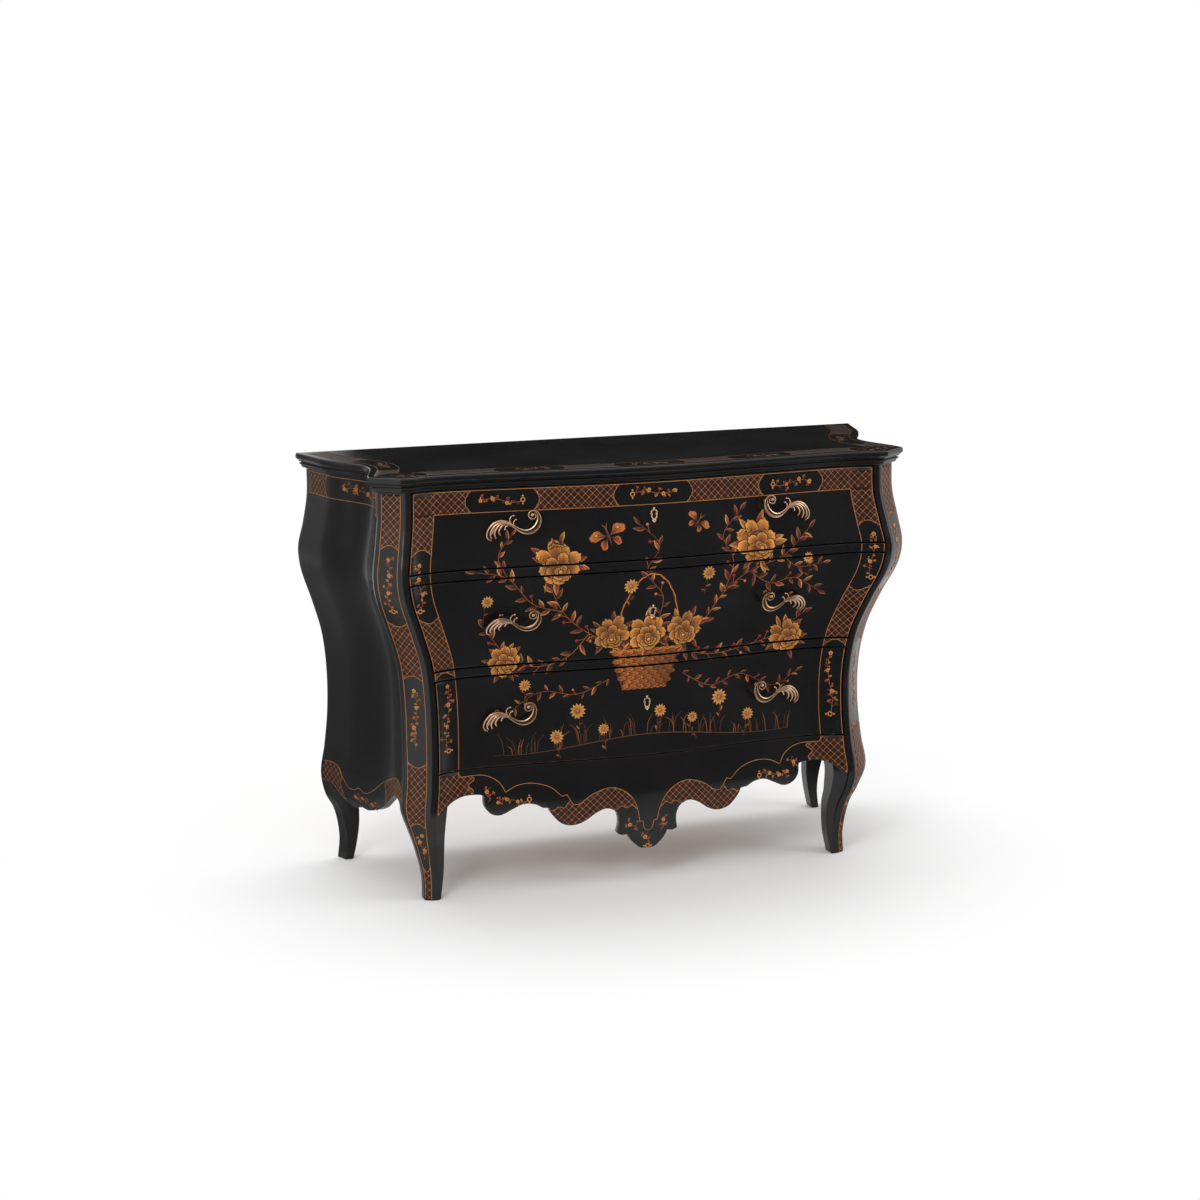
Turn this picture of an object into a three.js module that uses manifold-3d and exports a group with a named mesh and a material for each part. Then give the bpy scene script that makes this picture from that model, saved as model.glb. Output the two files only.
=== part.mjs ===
// Bombe commode: black-lacquered chest of three swelling drawers on cabriole legs.
// Millimetres, +Z up, the front faces -Y, the floor is at z = 0 and the middle plane is x = 0.
import * as THREE from "three";
import { mergeVertices } from "three/addons/utils/BufferGeometryUtils.js";
import Module from "manifold-3d";

const wasm = await Module();
wasm.setup();

// Driving sizes of the case
const CASE_HEIGHT = 868;
const TOP_THICKNESS = 32;
const CASE_HALF_WIDTH = 537;
const SIDE_SPLAY = 110;
const CASE_HALF_BACK = CASE_HALF_WIDTH + SIDE_SPLAY;
const FRONT_REACH = 221;
const BACK_REACH = 225;
const CANT_WIDTH = 45.5;
const CANT_DEPTH = 50;
const CENTRE_SWELL = 20;
const FRONT_HOLLOW = 24;
const SIDE_HOLLOW_TOP = 36;
const SIDE_HOLLOW_LOW = 12;
const CLEARANCE = 0.3;

// Shape of the case at a few heights. Each row: height as a share of CASE_HEIGHT, then shares of
// CASE_HALF_WIDTH (front arris), FRONT_REACH, CANT_WIDTH, CANT_DEPTH, CASE_HALF_BACK, CENTRE_SWELL.
const CASE_SHAPE_SHARES = [
  [0, 0.862, 0.618, 0.36, 0.19, 0.896, 0],
  [0.058, 0.861, 0.608, 0.37, 0.22, 0.889, 0],
  [0.127, 0.872, 0.66, 0.55, 0.48, 0.904, 0.05],
  [0.173, 0.885, 0.747, 0.72, 0.62, 0.934, 0.1],
  [0.23, 0.891, 0.814, 1, 0.8, 0.946, 0.2],
  [0.3, 0.879, 0.782, 1, 0.88, 0.931, 0.2],
  [0.392, 0.872, 0.744, 1, 1, 0.918, 0.25],
  [0.495, 0.875, 0.739, 1, 1, 0.917, 0.3],
  [0.588, 0.895, 0.787, 1, 0.96, 0.93, 0.3],
  [0.668, 0.938, 0.873, 1, 0.96, 0.959, 0.2],
  [0.749, 0.987, 0.98, 1, 0.88, 0.993, 0.05],
  [0.806, 1, 1, 1, 0.86, 1, 0.1],
  [0.864, 0.987, 0.941, 1, 0.76, 0.982, 0.4],
  [0.933, 0.97, 0.873, 1, 0.7, 0.966, 0.8],
  [1, 0.967, 0.86, 1, 0.68, 0.964, 1],
];
const HOLLOW_PEAK_SHARE = 0.78;
const HOLLOW_END_POWER = 2.5;
const EDGE_BLEND_POWER = 4;
const SIDE_HOLLOW_SPAN_SHARE = 0.75;
const SIDE_HOLLOW_LEVEL_SHARE = 0.17;
const SIDE_RISE_SHARES = [1.25, 0.25];

// Front opening: heights of the parting lines and the strip that frames the drawers
const STRIP_WIDTH = 15;
const PARTING_GAP = 3;
const RAIL_HEIGHT = 21.25;
const DRAWER_HEIGHTS = [162, 191, 193.5];
const APRON_TOP = DRAWER_HEIGHTS.reduce((left, height) => left - height, CASE_HEIGHT - 2 * RAIL_HEIGHT);
const RAIL_THICKNESS = 20;
const RAIL_END_GAP = CLEARANCE;

// Posts and legs
const POST_DEPTH = 26;
const LEG_DROP = 78;
const LEG_TOP = APRON_TOP - LEG_DROP;
const FOOT_WIDTH = 17;
const KNEE_WIDTH = 46;
const LEG_TAPER_POWER = 1.5;
const KNEE_LAP_PLAY = 5;
const KNEE_DROP = 17;
const KNEE_TOP = APRON_TOP - KNEE_DROP;
const KNEE_SETBACK = 7;
const KNEE_STEP_RELIEF = 4;
const FOOT_DEPTH = 30;
const ANKLE_HEIGHT = 60;
const BACK_POST_DEPTH = 28;
const BACK_POST_WIDTH = 112;
const BACK_FOOT_TAPER = 16;
const BACK_POST_INNER_HALF = CASE_HALF_BACK - BACK_POST_WIDTH;
const BACK_ANKLE_HEIGHT = 90;

// Panels, top and inner boards
const SIDE_THICKNESS = 15;
const BACK_THICKNESS = 8;
const BACK_INSET = 4;
const BACK_FACE = BACK_REACH - BACK_INSET - BACK_THICKNESS;
const BACK_SKIRT = 119;
const BACK_BOTTOM = APRON_TOP - BACK_SKIRT;
const APRON_RAKE_SHARE = 0.11;
const APRON_LAP_THICKNESS = 6.5;
const NOSE_OVERHANG = 15.5;
const TOP_BACK_OVERHANG = 4;
const TOP_CORNER_FLARE = 6;
const TOP_FLARE_SPAN_SHARE = 0.16;
const STRETCHER_HEIGHT = 22;
const STRETCHER_DEPTH = 40;
const STRETCHER_SETBACK = 74;

// Drawer boxes and their runners
const FRONT_THICKNESS = 19;
const BOX_INSET = 107;
const BOX_HALF_WIDTH = CASE_HALF_WIDTH - BOX_INSET;
const BOX_STOP_GAP = 1;
const BOX_SIDE_THICKNESS = 12;
const BOX_BACK_THICKNESS = 12;
const BOX_BOTTOM_THICKNESS = 6;
const BOX_BOTTOM_RAISE = 8;
const BOX_TOP_DROP = 27;
const BOX_LIFT = 2;
const RUNNER_HEIGHT = 16;
const RUNNER_GUIDE_HEIGHT = 16;
const RUNNER_GUIDE_THICKNESS = 10;
const RUNNER_SIDE_PLAY = 1;
const RUNNER_OVERLAP = 12;

// Drawer pulls: scroll castings on two posts, held by screws from inside the drawer
const PULL_INSET = 240;
const PULL_CENTRE_HALF = CASE_HALF_WIDTH - PULL_INSET;
const PULL_HEIGHT_SHARES = [0.516, 0.533, 0.55];
const PULL_HALF_WIDTH = 57;
const PULL_STAND = 24;
const PULL_BAR_RADIUS = 6.2;
const PULL_KNOB_RADIUS = 4.6;
const PULL_POST_RADIUS = 4.6;
const PULL_POST_SINK = 6;
const PULL_BAR_SIDES = 7;
const PULL_BAR_STEPS = 20;
// Route of the scroll bar: along and up as shares of PULL_HALF_WIDTH, stand-off as a share of
// PULL_STAND, and the bar's half-thickness as a share of PULL_BAR_RADIUS.
const PULL_ROUTE_SHARES = [
  [-0.58, 0.3, 1, 0.62],
  [-0.66, 0.42, 1, 0.66],
  [-0.82, 0.38, 0.98, 0.8],
  [-0.93, 0.19, 0.95, 0.95],
  [-0.87, -0.07, 0.9, 1],
  [-0.67, -0.25, 0.85, 1],
  [-0.42, -0.29, 0.8, 0.95],
  [-0.19, -0.19, 0.75, 0.85],
  [0, -0.02, 0.7, 0.72],
  [0.17, 0.12, 0.7, 0.95],
  [0.37, 0.18, 0.7, 1.25],
  [0.58, 0.12, 0.66, 1.5],
  [0.76, -0.06, 0.58, 1.5],
  [0.84, -0.28, 0.48, 1.1],
  [0.82, -0.44, 0.42, 0.4],
];
const PULL_LEAF_FLATNESS_SHARE = 0.62;
const PULL_KNOB_PLACE_SHARES = [-0.69, 0.26];
const PULL_POST_PLACES_SHARES = [
  [-0.69, 0.26, 1],
  [0.42, 0.14, 0.7],
];
const SCREW_RADIUS = 2;
const SCREW_BORE_RADIUS = 2.3;
const SCREW_BORE_DEPTH = 9;
const SCREW_TIP_GAP = 1;
const SCREW_HEAD_RADIUS = 4.5;
const SCREW_HEAD_HEIGHT = 3;
const SCREW_SIDES = 8;

// Keyhole escutcheons
const ESCUTCHEON_HALF_WIDTH = 7.6;
const ESCUTCHEON_HALF_HEIGHT = 12;
const ESCUTCHEON_BEAD_RADIUS = 3.2;
const ESCUTCHEON_HEIGHT_SHARES = [0.56, 0.52, 0.58];
const ESCUTCHEON_THICKNESS = 3;
const ESCUTCHEON_SINK = 2;
const KEYHOLE_RADIUS = 3.4;
const KEYHOLE_SLOT_WIDTH = 3.2;
const KEYHOLE_SLOT_LENGTH = 8;

// Lower edge of the front apron from the middle outward: shares of the half width inside the
// strips and of APRON_TOP. Equal neighbours in the first column are steps in the fretted edge.
const APRON_EDGE_SHARES = [
  [0, 0.265], [0.03, 0.27], [0.05, 0.29], [0.077, 0.334], [0.09, 0.37], [0.097, 0.394],
  [0.125, 0.389], [0.147, 0.404], [0.14, 0.47], [0.142, 0.53], [0.158, 0.584],
  [0.2, 0.616], [0.248, 0.592], [0.307, 0.527], [0.361, 0.502], [0.415, 0.525],
  [0.458, 0.602], [0.473, 0.656], [0.503, 0.66], [0.544, 0.695], [0.596, 0.702],
  [0.646, 0.667], [0.7, 0.629], [0.745, 0.647], [0.772, 0.706], [0.776, 0.792],
  [0.808, 0.806], [0.873, 0.806], [0.924, 0.781], [0.957, 0.749], [1, 0.69],
];
// Lower edge of a side: shares of the depth from the canted corner to the back, and of APRON_TOP
const SIDE_EDGE_CORNER = 8;
const SIDE_EDGE_SHARES = [
  [0, 0.725], [0.085, 0.765], [0.2, 0.752], [0.33, 0.665], [0.465, 0.563],
  [0.582, 0.512], [0.624, 0.514], [0.66, 0.534], [0.696, 0.502], [0.735, 0.495],
  [0.816, 0.552], [0.877, 0.627], [0.92, 0.645], [1, 0.645],
];

// Mould of the top: rows of inset from the nose as a share of NOSE_OVERHANG and height as a
// share of TOP_THICKNESS, from the underside up.
const TOP_MOULD_SHARES = [
  [1, 0], [0.78, 0.11], [0.66, 0.27], [0.5, 0.31], [0.38, 0.44], [0.34, 0.53],
  [0.18, 0.56], [0, 0.64], [0, 0.78], [0.16, 0.9], [0.4, 0.97], [0.66, 1],
];

// Mesh fineness
const FRONT_STEPS = 24;
const DRAWER_RISE_STEPS = 7;
const APRON_RISE_STEPS = 12;
const SIDE_STEPS = 7;
const CASE_STEPS = 52;
const KNEE_FACE_STEPS = 3;
const BOX_RISE_STEPS = 6;
const TOP_FRONT_STEPS = 28;
const TOP_SIDE_STEPS = 10;
const CUT_REACH = 100;
const RUNNER_SKIN_STEPS = 4;
const KNOB_SIDES = 8;
const KNOB_RINGS = 5;
const PLATE_CURVE_STEPS = 10;

const LACQUER = { color: 0x161516, roughness: 0.16, metalness: 0 };
const BRASS = { color: 0xb59a68, roughness: 0.38, metalness: 1 };
const STEEL = { color: 0xa7a8aa, roughness: 0.35, metalness: 1 };
const DRAWER_WOOD = { color: 0xb78b58, roughness: 0.65, metalness: 0 };
const CARCASS_WOOD = { color: 0x8f6a44, roughness: 0.7, metalness: 0 };

const group = new THREE.Group();

function finish(name, geometry, look) {
  const mesh = new THREE.Mesh(geometry, new THREE.MeshStandardMaterial(look));
  mesh.name = name;
  group.add(mesh);
}

// Smooth value of one column of a table of shares at a share of height
function tableValue(rows, share, column) {
  const last = rows.length - 1;
  const at = Math.min(Math.max(share, rows[0][0]), rows[last][0]);
  let i = 0;
  while (i < last - 1 && at > rows[i + 1][0]) i += 1;
  const span = rows[i + 1][0] - rows[i][0];
  const t = (at - rows[i][0]) / span;
  const slope = (k) => {
    const a = Math.max(k - 1, 0);
    const b = Math.min(k + 1, last);
    return (rows[b][column] - rows[a][column]) / (rows[b][0] - rows[a][0]);
  };
  const p0 = rows[i][column];
  const p1 = rows[i + 1][column];
  const m0 = slope(i) * span;
  const m1 = slope(i + 1) * span;
  const t2 = t * t;
  const t3 = t2 * t;
  return (2 * t3 - 3 * t2 + 1) * p0 + (t3 - 2 * t2 + t) * m0 + (3 * t2 - 2 * t3) * p1 + (t3 - t2) * m1;
}

// Plan of the case at height z, right-hand side
function casePlan(z) {
  const share = z / CASE_HEIGHT;
  const value = (column) => tableValue(CASE_SHAPE_SHARES, share, column);
  const arris = CASE_HALF_WIDTH * value(1);
  const front = -FRONT_REACH * value(2);
  return {
    arris,
    front,
    opening: arris - STRIP_WIDTH,
    cantOut: arris + CANT_WIDTH * value(3),
    cantBack: front + CANT_DEPTH * value(4),
    back: CASE_HALF_BACK * value(5),
    centre: front - CENTRE_SWELL * value(6),
  };
}

// Serpentine front surface: depth at x and height z
function frontY(x, z) {
  const plan = casePlan(z);
  const t = Math.min(Math.abs(x) / plan.opening, 1);
  const past = (t - HOLLOW_PEAK_SHARE) / (1 - HOLLOW_PEAK_SHARE);
  const rising = Math.sin((Math.PI / 2) * (t / HOLLOW_PEAK_SHARE)) ** 2;
  const hollow = t < HOLLOW_PEAK_SHARE ? rising : 1 - past ** HOLLOW_END_POWER;
  const blend = t ** EDGE_BLEND_POWER;
  return plan.centre + FRONT_HOLLOW * hollow + (plan.front - plan.centre) * blend;
}

// Side surface: half width at depth y and height z, hollow near the corner and full at the back
function sideX(y, z) {
  const plan = casePlan(z);
  const s = Math.min(Math.max((y - plan.cantBack) / (BACK_REACH - plan.cantBack), 0), 1);
  const level = Math.max(z / CASE_HEIGHT - SIDE_HOLLOW_LEVEL_SHARE, 0) / (1 - SIDE_HOLLOW_LEVEL_SHARE);
  const depth = SIDE_HOLLOW_LOW + (SIDE_HOLLOW_TOP - SIDE_HOLLOW_LOW) * level;
  const wave = s < SIDE_HOLLOW_SPAN_SHARE ? Math.sin((Math.PI * s) / SIDE_HOLLOW_SPAN_SHARE) ** 2 : 0;
  const rise = SIDE_RISE_SHARES[0] * s ** 2 - SIDE_RISE_SHARES[1] * s ** 4;
  return plan.cantOut + (plan.back - plan.cantOut) * rise - depth * wave;
}

// Closed geometry from points and faces, turned outward
function solid(points, faces) {
  let volume = 0;
  for (const [a, b, c] of faces) {
    volume += points[a].dot(points[b].clone().cross(points[c]));
  }
  const index = faces.flatMap(([a, b, c]) => (volume < 0 ? [a, c, b] : [a, b, c]));
  const geometry = new THREE.BufferGeometry();
  const coordinates = points.flatMap((p) => [p.x, p.y, p.z]);
  geometry.setAttribute("position", new THREE.Float32BufferAttribute(coordinates, 3));
  geometry.setIndex(index);
  return geometry;
}

// Even shares from 0 to 1, and shares from -1 to 1 that crowd toward both ends
function evenShares(steps) {
  return Array.from({ length: steps + 1 }, (_, i) => i / steps);
}
function crowdedShares(steps) {
  return evenShares(steps).map((share) => Math.sin(Math.PI * (share - 0.5)));
}

// Curved board between two surfaces, each given as a function of u and v from these two lists
function board(us, vs, outer, inner) {
  const points = [];
  const faces = [];
  const uSteps = us.length - 1;
  const vSteps = vs.length - 1;
  const row = us.length;
  const layer = row * vs.length;
  for (const surface of [outer, inner]) {
    for (const v of vs) {
      for (const u of us) points.push(surface(u, v));
    }
  }
  const quad = (a, b, c, d) => faces.push([a, b, c], [a, c, d]);
  const at = (i, j, k) => k * layer + j * row + i;
  for (let j = 0; j < vSteps; j += 1) {
    for (let i = 0; i < uSteps; i += 1) {
      quad(at(i, j, 0), at(i + 1, j, 0), at(i + 1, j + 1, 0), at(i, j + 1, 0));
      quad(at(i, j, 1), at(i, j + 1, 1), at(i + 1, j + 1, 1), at(i + 1, j, 1));
    }
  }
  for (let i = 0; i < uSteps; i += 1) {
    quad(at(i, 0, 0), at(i, 0, 1), at(i + 1, 0, 1), at(i + 1, 0, 0));
    quad(at(i, vSteps, 0), at(i + 1, vSteps, 0), at(i + 1, vSteps, 1), at(i, vSteps, 1));
  }
  for (let j = 0; j < vSteps; j += 1) {
    quad(at(0, j, 0), at(0, j + 1, 0), at(0, j + 1, 1), at(0, j, 1));
    quad(at(uSteps, j, 0), at(uSteps, j, 1), at(uSteps, j + 1, 1), at(uSteps, j + 1, 0));
  }
  return solid(points, faces);
}

// Body lofted through level rings of equal point counts, with flat caps
function loft(rings) {
  const points = rings.flat();
  const count = rings[0].length;
  const flat = (ring) => ring.map((p) => new THREE.Vector2(p.x, p.y));
  const turned = THREE.ShapeUtils.isClockWise(flat(rings[0]));
  const faces = [];
  const add = (a, b, c) => faces.push(turned ? [a, c, b] : [a, b, c]);
  for (let k = 0; k < rings.length - 1; k += 1) {
    for (let i = 0; i < count; i += 1) {
      const a = k * count + i;
      const b = k * count + ((i + 1) % count);
      add(a, b, b + count);
      add(a, b + count, a + count);
    }
  }
  for (const k of [0, rings.length - 1]) {
    const outline = flat(rings[k]);
    const reversed = (k === 0) !== THREE.ShapeUtils.isClockWise(outline);
    for (const corners of THREE.ShapeUtils.triangulateShape(outline, [])) {
      const face = corners.map((corner) => corner + k * count);
      faces.push(reversed ? face.reverse() : face);
    }
  }
  return solid(points, faces);
}

function toManifold(geometry) {
  const clean = geometry.clone();
  clean.deleteAttribute("normal");
  clean.deleteAttribute("uv");
  const merged = mergeVertices(clean);
  const vertProperties = new Float32Array(merged.attributes.position.array);
  const triVerts = new Uint32Array(merged.index.array);
  return new wasm.Manifold(new wasm.Mesh({ numProp: 3, vertProperties, triVerts }));
}

function toGeometry(body) {
  const mesh = body.getMesh();
  const geometry = new THREE.BufferGeometry();
  geometry.setAttribute("position", new THREE.Float32BufferAttribute(Array.from(mesh.vertProperties), 3));
  geometry.setIndex(Array.from(mesh.triVerts));
  return geometry;
}

function mirrored(geometry) {
  const copy = geometry.clone();
  copy.applyMatrix4(new THREE.Matrix4().makeScale(-1, 1, 1));
  const index = Array.from(copy.index.array);
  for (let i = 0; i < index.length; i += 3) {
    [index[i], index[i + 1]] = [index[i + 1], index[i]];
  }
  copy.setIndex(index);
  return copy;
}

function addPair(name, geometry, look) {
  finish(`right_${name}`, geometry, look);
  finish(`left_${name}`, mirrored(geometry), look);
}

// Heights of the three drawers, from the top down
function drawerSpans() {
  const spans = [];
  let top = CASE_HEIGHT;
  for (const height of DRAWER_HEIGHTS) {
    spans.push({ top: top - PARTING_GAP / 2, bottom: top - height + PARTING_GAP / 2 });
    top -= height + RAIL_HEIGHT;
  }
  return spans;
}
const SPANS = drawerSpans();

// Half width inside the strips, less a gap
function openingHalf(z, gap) {
  return casePlan(z).opening - gap;
}

// Front of the apron: the drawers' surface carried down past LEG_TOP with a slight rake
function apronY(x, z) {
  const below = Math.max(LEG_TOP - z, 0);
  return frontY(x, z + below) + APRON_RAKE_SHARE * below;
}

// Board that follows the front between two heights, between the strips
function frontBoard(bottom, top, thickness, endGap, riseSteps) {
  const point = (u, v, inward) => {
    const z = bottom + (top - bottom) * v;
    const x = u * openingHalf(z, endGap);
    return new THREE.Vector3(x, frontY(x, z) + inward, z);
  };
  return board(crowdedShares(FRONT_STEPS), evenShares(riseSteps),
    (u, v) => point(u, v, 0),
    (u, v) => point(u, v, thickness));
}

// Heights at which posts and sides are shaped
function caseLevels() {
  return evenShares(CASE_STEPS).map((share) => share * (CASE_HEIGHT - CLEARANCE));
}

// Front corner post with its cabriole leg, one piece from the floor to the top. Below KNEE_TOP it
// widens inward behind the apron and its face steps back beside the framing strip.
function frontPost() {
  const levels = [...caseLevels(), KNEE_TOP - CLEARANCE, KNEE_TOP].sort((a, b) => a - b);
  const rings = levels.map((z) => {
    const plan = casePlan(z);
    const strip = plan.opening + PARTING_GAP / 2;
    const kneed = z < KNEE_TOP;
    const slim = (1 - Math.min(z / KNEE_TOP, 1)) ** LEG_TAPER_POWER;
    const inner = kneed ? plan.arris - KNEE_WIDTH + (KNEE_WIDTH - FOOT_WIDTH) * slim : strip;
    const setback = CLEARANCE + (KNEE_SETBACK - CLEARANCE) * Math.min(Math.max(z / ANKLE_HEIGHT - 1, 0), 1);
    const depth = FOOT_DEPTH + (POST_DEPTH + CANT_DEPTH - FOOT_DEPTH) * Math.min(z / LEG_TOP, 1) ** 2;
    const rear = Math.min(plan.front + depth, plan.cantBack + POST_DEPTH);
    const face = evenShares(KNEE_FACE_STEPS).map((share) => {
      const x = inner + (strip - inner) * share;
      const back = kneed ? setback : KNEE_SETBACK + KNEE_STEP_RELIEF * (2 - share);
      return new THREE.Vector3(x, frontY(x, z) + back, z);
    });
    return [
      ...face,
      new THREE.Vector3(strip, plan.front, z),
      new THREE.Vector3(plan.arris, plan.front, z),
      new THREE.Vector3(plan.cantOut, plan.cantBack, z),
      new THREE.Vector3(sideX(rear, z), rear, z),
      new THREE.Vector3(inner, rear, z),
    ];
  });
  addPair("front_post", loft(rings), LACQUER);
}

// Back corner post with its leg, flat at the back and following the side outside
function backPost() {
  const front = BACK_REACH - BACK_POST_DEPTH;
  const rings = caseLevels().map((z) => {
    const slim = (1 - Math.min(z / BACK_ANKLE_HEIGHT, 1)) ** LEG_TAPER_POWER;
    const inner = BACK_POST_INNER_HALF + BACK_FOOT_TAPER * slim;
    return [
      new THREE.Vector3(inner, front, z),
      new THREE.Vector3(sideX(front, z), front, z),
      new THREE.Vector3(sideX(BACK_REACH, z), BACK_REACH, z),
      new THREE.Vector3(inner, BACK_REACH, z),
    ];
  });
  addPair("back_post", loft(rings), LACQUER);
}

// Side panel between the posts, with its fretted lower edge
function sidePanel() {
  const rear = BACK_REACH - BACK_POST_DEPTH - CLEARANCE;
  const levels = caseLevels().filter((z) => z > APRON_TOP / 3);
  const point = (u, z, inward) => {
    const start = casePlan(z).cantBack + POST_DEPTH + CLEARANCE;
    const y = start + (rear - start) * u;
    return new THREE.Vector3(sideX(y, z) - inward, y, z);
  };
  const slab = board(evenShares(SIDE_STEPS), levels,
    (u, z) => point(u, z, 0),
    (u, z) => point(u, z, SIDE_THICKNESS));
  const corner = casePlan(APRON_TOP).cantBack;
  const edge = SIDE_EDGE_SHARES.map(([along, up]) => {
    return new THREE.Vector2(corner + (BACK_REACH - corner) * along, APRON_TOP * up);
  });
  const cutter = new THREE.Shape();
  cutter.moveTo(corner - CUT_REACH, 0);
  cutter.lineTo(corner - CUT_REACH, edge[0].y);
  cutter.lineTo(edge[0].x, edge[0].y);
  cutter.splineThru(edge.slice(1, SIDE_EDGE_CORNER));
  cutter.splineThru(edge.slice(SIDE_EDGE_CORNER));
  cutter.lineTo(BACK_REACH + CUT_REACH, edge[edge.length - 1].y);
  cutter.lineTo(BACK_REACH + CUT_REACH, 0);
  const reach = CASE_HALF_BACK + CUT_REACH;
  const block = new THREE.ExtrudeGeometry(cutter, { depth: reach, bevelEnabled: false, curveSegments: 3 });
  block.applyMatrix4(new THREE.Matrix4().makeBasis(
    new THREE.Vector3(0, 1, 0), new THREE.Vector3(0, 0, 1), new THREE.Vector3(1, 0, 0)));
  addPair("side_panel", toGeometry(toManifold(slab).subtract(toManifold(block))), LACQUER);
}

// Fretted front apron, thinned at its ends where it laps over the knees
function frontApron() {
  const top = APRON_TOP - PARTING_GAP / 2;
  const lowest = APRON_TOP / 4;
  const endGap = RAIL_END_GAP - PARTING_GAP / 2;
  const half = openingHalf(APRON_TOP, endGap);
  const lap = casePlan(APRON_TOP).arris - KNEE_WIDTH - KNEE_LAP_PLAY;
  const lapShares = [lap / half, (lap + CLEARANCE) / half];
  const us = [...crowdedShares(FRONT_STEPS), ...lapShares, ...lapShares.map((share) => -share)];
  const point = (u, v, inward) => {
    const z = lowest + (top - lowest) * v;
    const x = u * openingHalf(Math.max(z, LEG_TOP), endGap);
    return new THREE.Vector3(x, apronY(x, z) + inward, z);
  };
  const slab = board(us.sort((p, q) => p - q), evenShares(APRON_RISE_STEPS),
    (u, v) => point(u, v, 0),
    (u, v) => point(u, v, Math.abs(u) > lapShares[0] ? APRON_LAP_THICKNESS : RAIL_THICKNESS));
  const right = APRON_EDGE_SHARES.map(([along, up]) => new THREE.Vector2(half * along, APRON_TOP * up));
  const edge = [...right.slice(1).reverse().map((p) => new THREE.Vector2(-p.x, p.y)), ...right];
  const wide = CASE_HALF_WIDTH;
  const outline = new THREE.Shape();
  outline.moveTo(-wide, edge[0].y - CENTRE_SWELL);
  for (const p of edge) outline.lineTo(p.x, p.y);
  outline.lineTo(wide, edge[0].y - CENTRE_SWELL);
  outline.lineTo(wide, top + CENTRE_SWELL);
  outline.lineTo(-wide, top + CENTRE_SWELL);
  const reach = FRONT_REACH + CUT_REACH;
  const keep = new THREE.ExtrudeGeometry(outline, { depth: reach, bevelEnabled: false });
  keep.rotateX(Math.PI / 2);
  finish("front_apron", toGeometry(toManifold(slab).intersect(toManifold(keep))), LACQUER);
}

function frontRails() {
  const names = ["upper", "lower"];
  names.forEach((name, k) => {
    const top = SPANS[k].bottom - PARTING_GAP;
    const bottom = SPANS[k + 1].top + PARTING_GAP;
    const endGap = RAIL_END_GAP - PARTING_GAP / 2;
    finish(`${name}_front_rail`, frontBoard(bottom, top, RAIL_THICKNESS, endGap, 2), LACQUER);
  });
}

// Moulded top: outline of the case under it, grown by the mould at each height and flared out
// sideways at the canted corners
function topSlab() {
  const z = CASE_HEIGHT;
  const plan = casePlan(z);
  const cant = new THREE.Vector2(plan.cantBack - plan.front, plan.arris - plan.cantOut).normalize();
  const miter = (a, b) => a.clone().add(b).divideScalar(1 + a.dot(b));
  const ahead = new THREE.Vector2(0, -1);
  const aside = new THREE.Vector2(1, 0);
  const right = crowdedShares(TOP_FRONT_STEPS).filter((share) => share >= 0).map((share) => {
    const x = plan.arris * share;
    return { x, y: frontY(x, z), grow: ahead, flare: 0 };
  });
  right[right.length - 1].grow = miter(ahead, cant);
  right[right.length - 1].flare = TOP_CORNER_FLARE;
  right.push({ x: plan.cantOut, y: plan.cantBack, grow: miter(cant, aside), flare: TOP_CORNER_FLARE });
  for (const share of evenShares(TOP_SIDE_STEPS).slice(1)) {
    const y = plan.cantBack + (BACK_REACH - plan.cantBack) * share;
    const flare = TOP_CORNER_FLARE * Math.max(1 - share / TOP_FLARE_SPAN_SHARE, 0) ** 2;
    right.push({ x: sideX(y, z), y, grow: aside, flare });
  }
  right.push({ x: plan.back, y: BACK_REACH + TOP_BACK_OVERHANG, grow: aside, flare: 0 });
  const side = (p, sign, out) => {
    return new THREE.Vector2(sign * (p.x + p.flare + p.grow.x * out), p.y + p.grow.y * out);
  };
  const rings = TOP_MOULD_SHARES.map(([inset, up]) => {
    const out = NOSE_OVERHANG * (1 - inset);
    const half = right.map((p) => side(p, 1, out));
    const other = right.slice(1).reverse().map((p) => side(p, -1, out));
    return [...half, ...other].map((p) => new THREE.Vector3(p.x, p.y, z + TOP_THICKNESS * up));
  });
  finish("moulded_top", loft(rings), LACQUER);
}

function plainBoard(low, high) {
  const size = high.clone().sub(low);
  const box = new THREE.BoxGeometry(size.x, size.y, size.z);
  box.translate((low.x + high.x) / 2, (low.y + high.y) / 2, (low.z + high.z) / 2);
  return box;
}

function backPanel() {
  const half = BACK_POST_INNER_HALF - CLEARANCE;
  const low = new THREE.Vector3(-half, BACK_FACE, BACK_BOTTOM);
  const high = new THREE.Vector3(half, BACK_FACE + BACK_THICKNESS, CASE_HEIGHT - CLEARANCE);
  finish("back_panel", plainBoard(low, high), CARCASS_WOOD);
}

// Board under the front of the top, behind the top drawer's front edge
function topStretcher() {
  const top = CASE_HEIGHT - CLEARANCE;
  const point = (u, v, y) => {
    const z = top - STRETCHER_HEIGHT * (1 - v);
    const half = openingHalf(z, RAIL_END_GAP - PARTING_GAP / 2);
    return new THREE.Vector3(u * half, y, z);
  };
  const front = STRETCHER_SETBACK - FRONT_REACH;
  const geometry = board([-1, 1], [0, 1],
    (u, v) => point(u, v, front),
    (u, v) => point(u, v, front + STRETCHER_DEPTH));
  finish("top_stretcher", geometry, CARCASS_WOOD);
}

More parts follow.
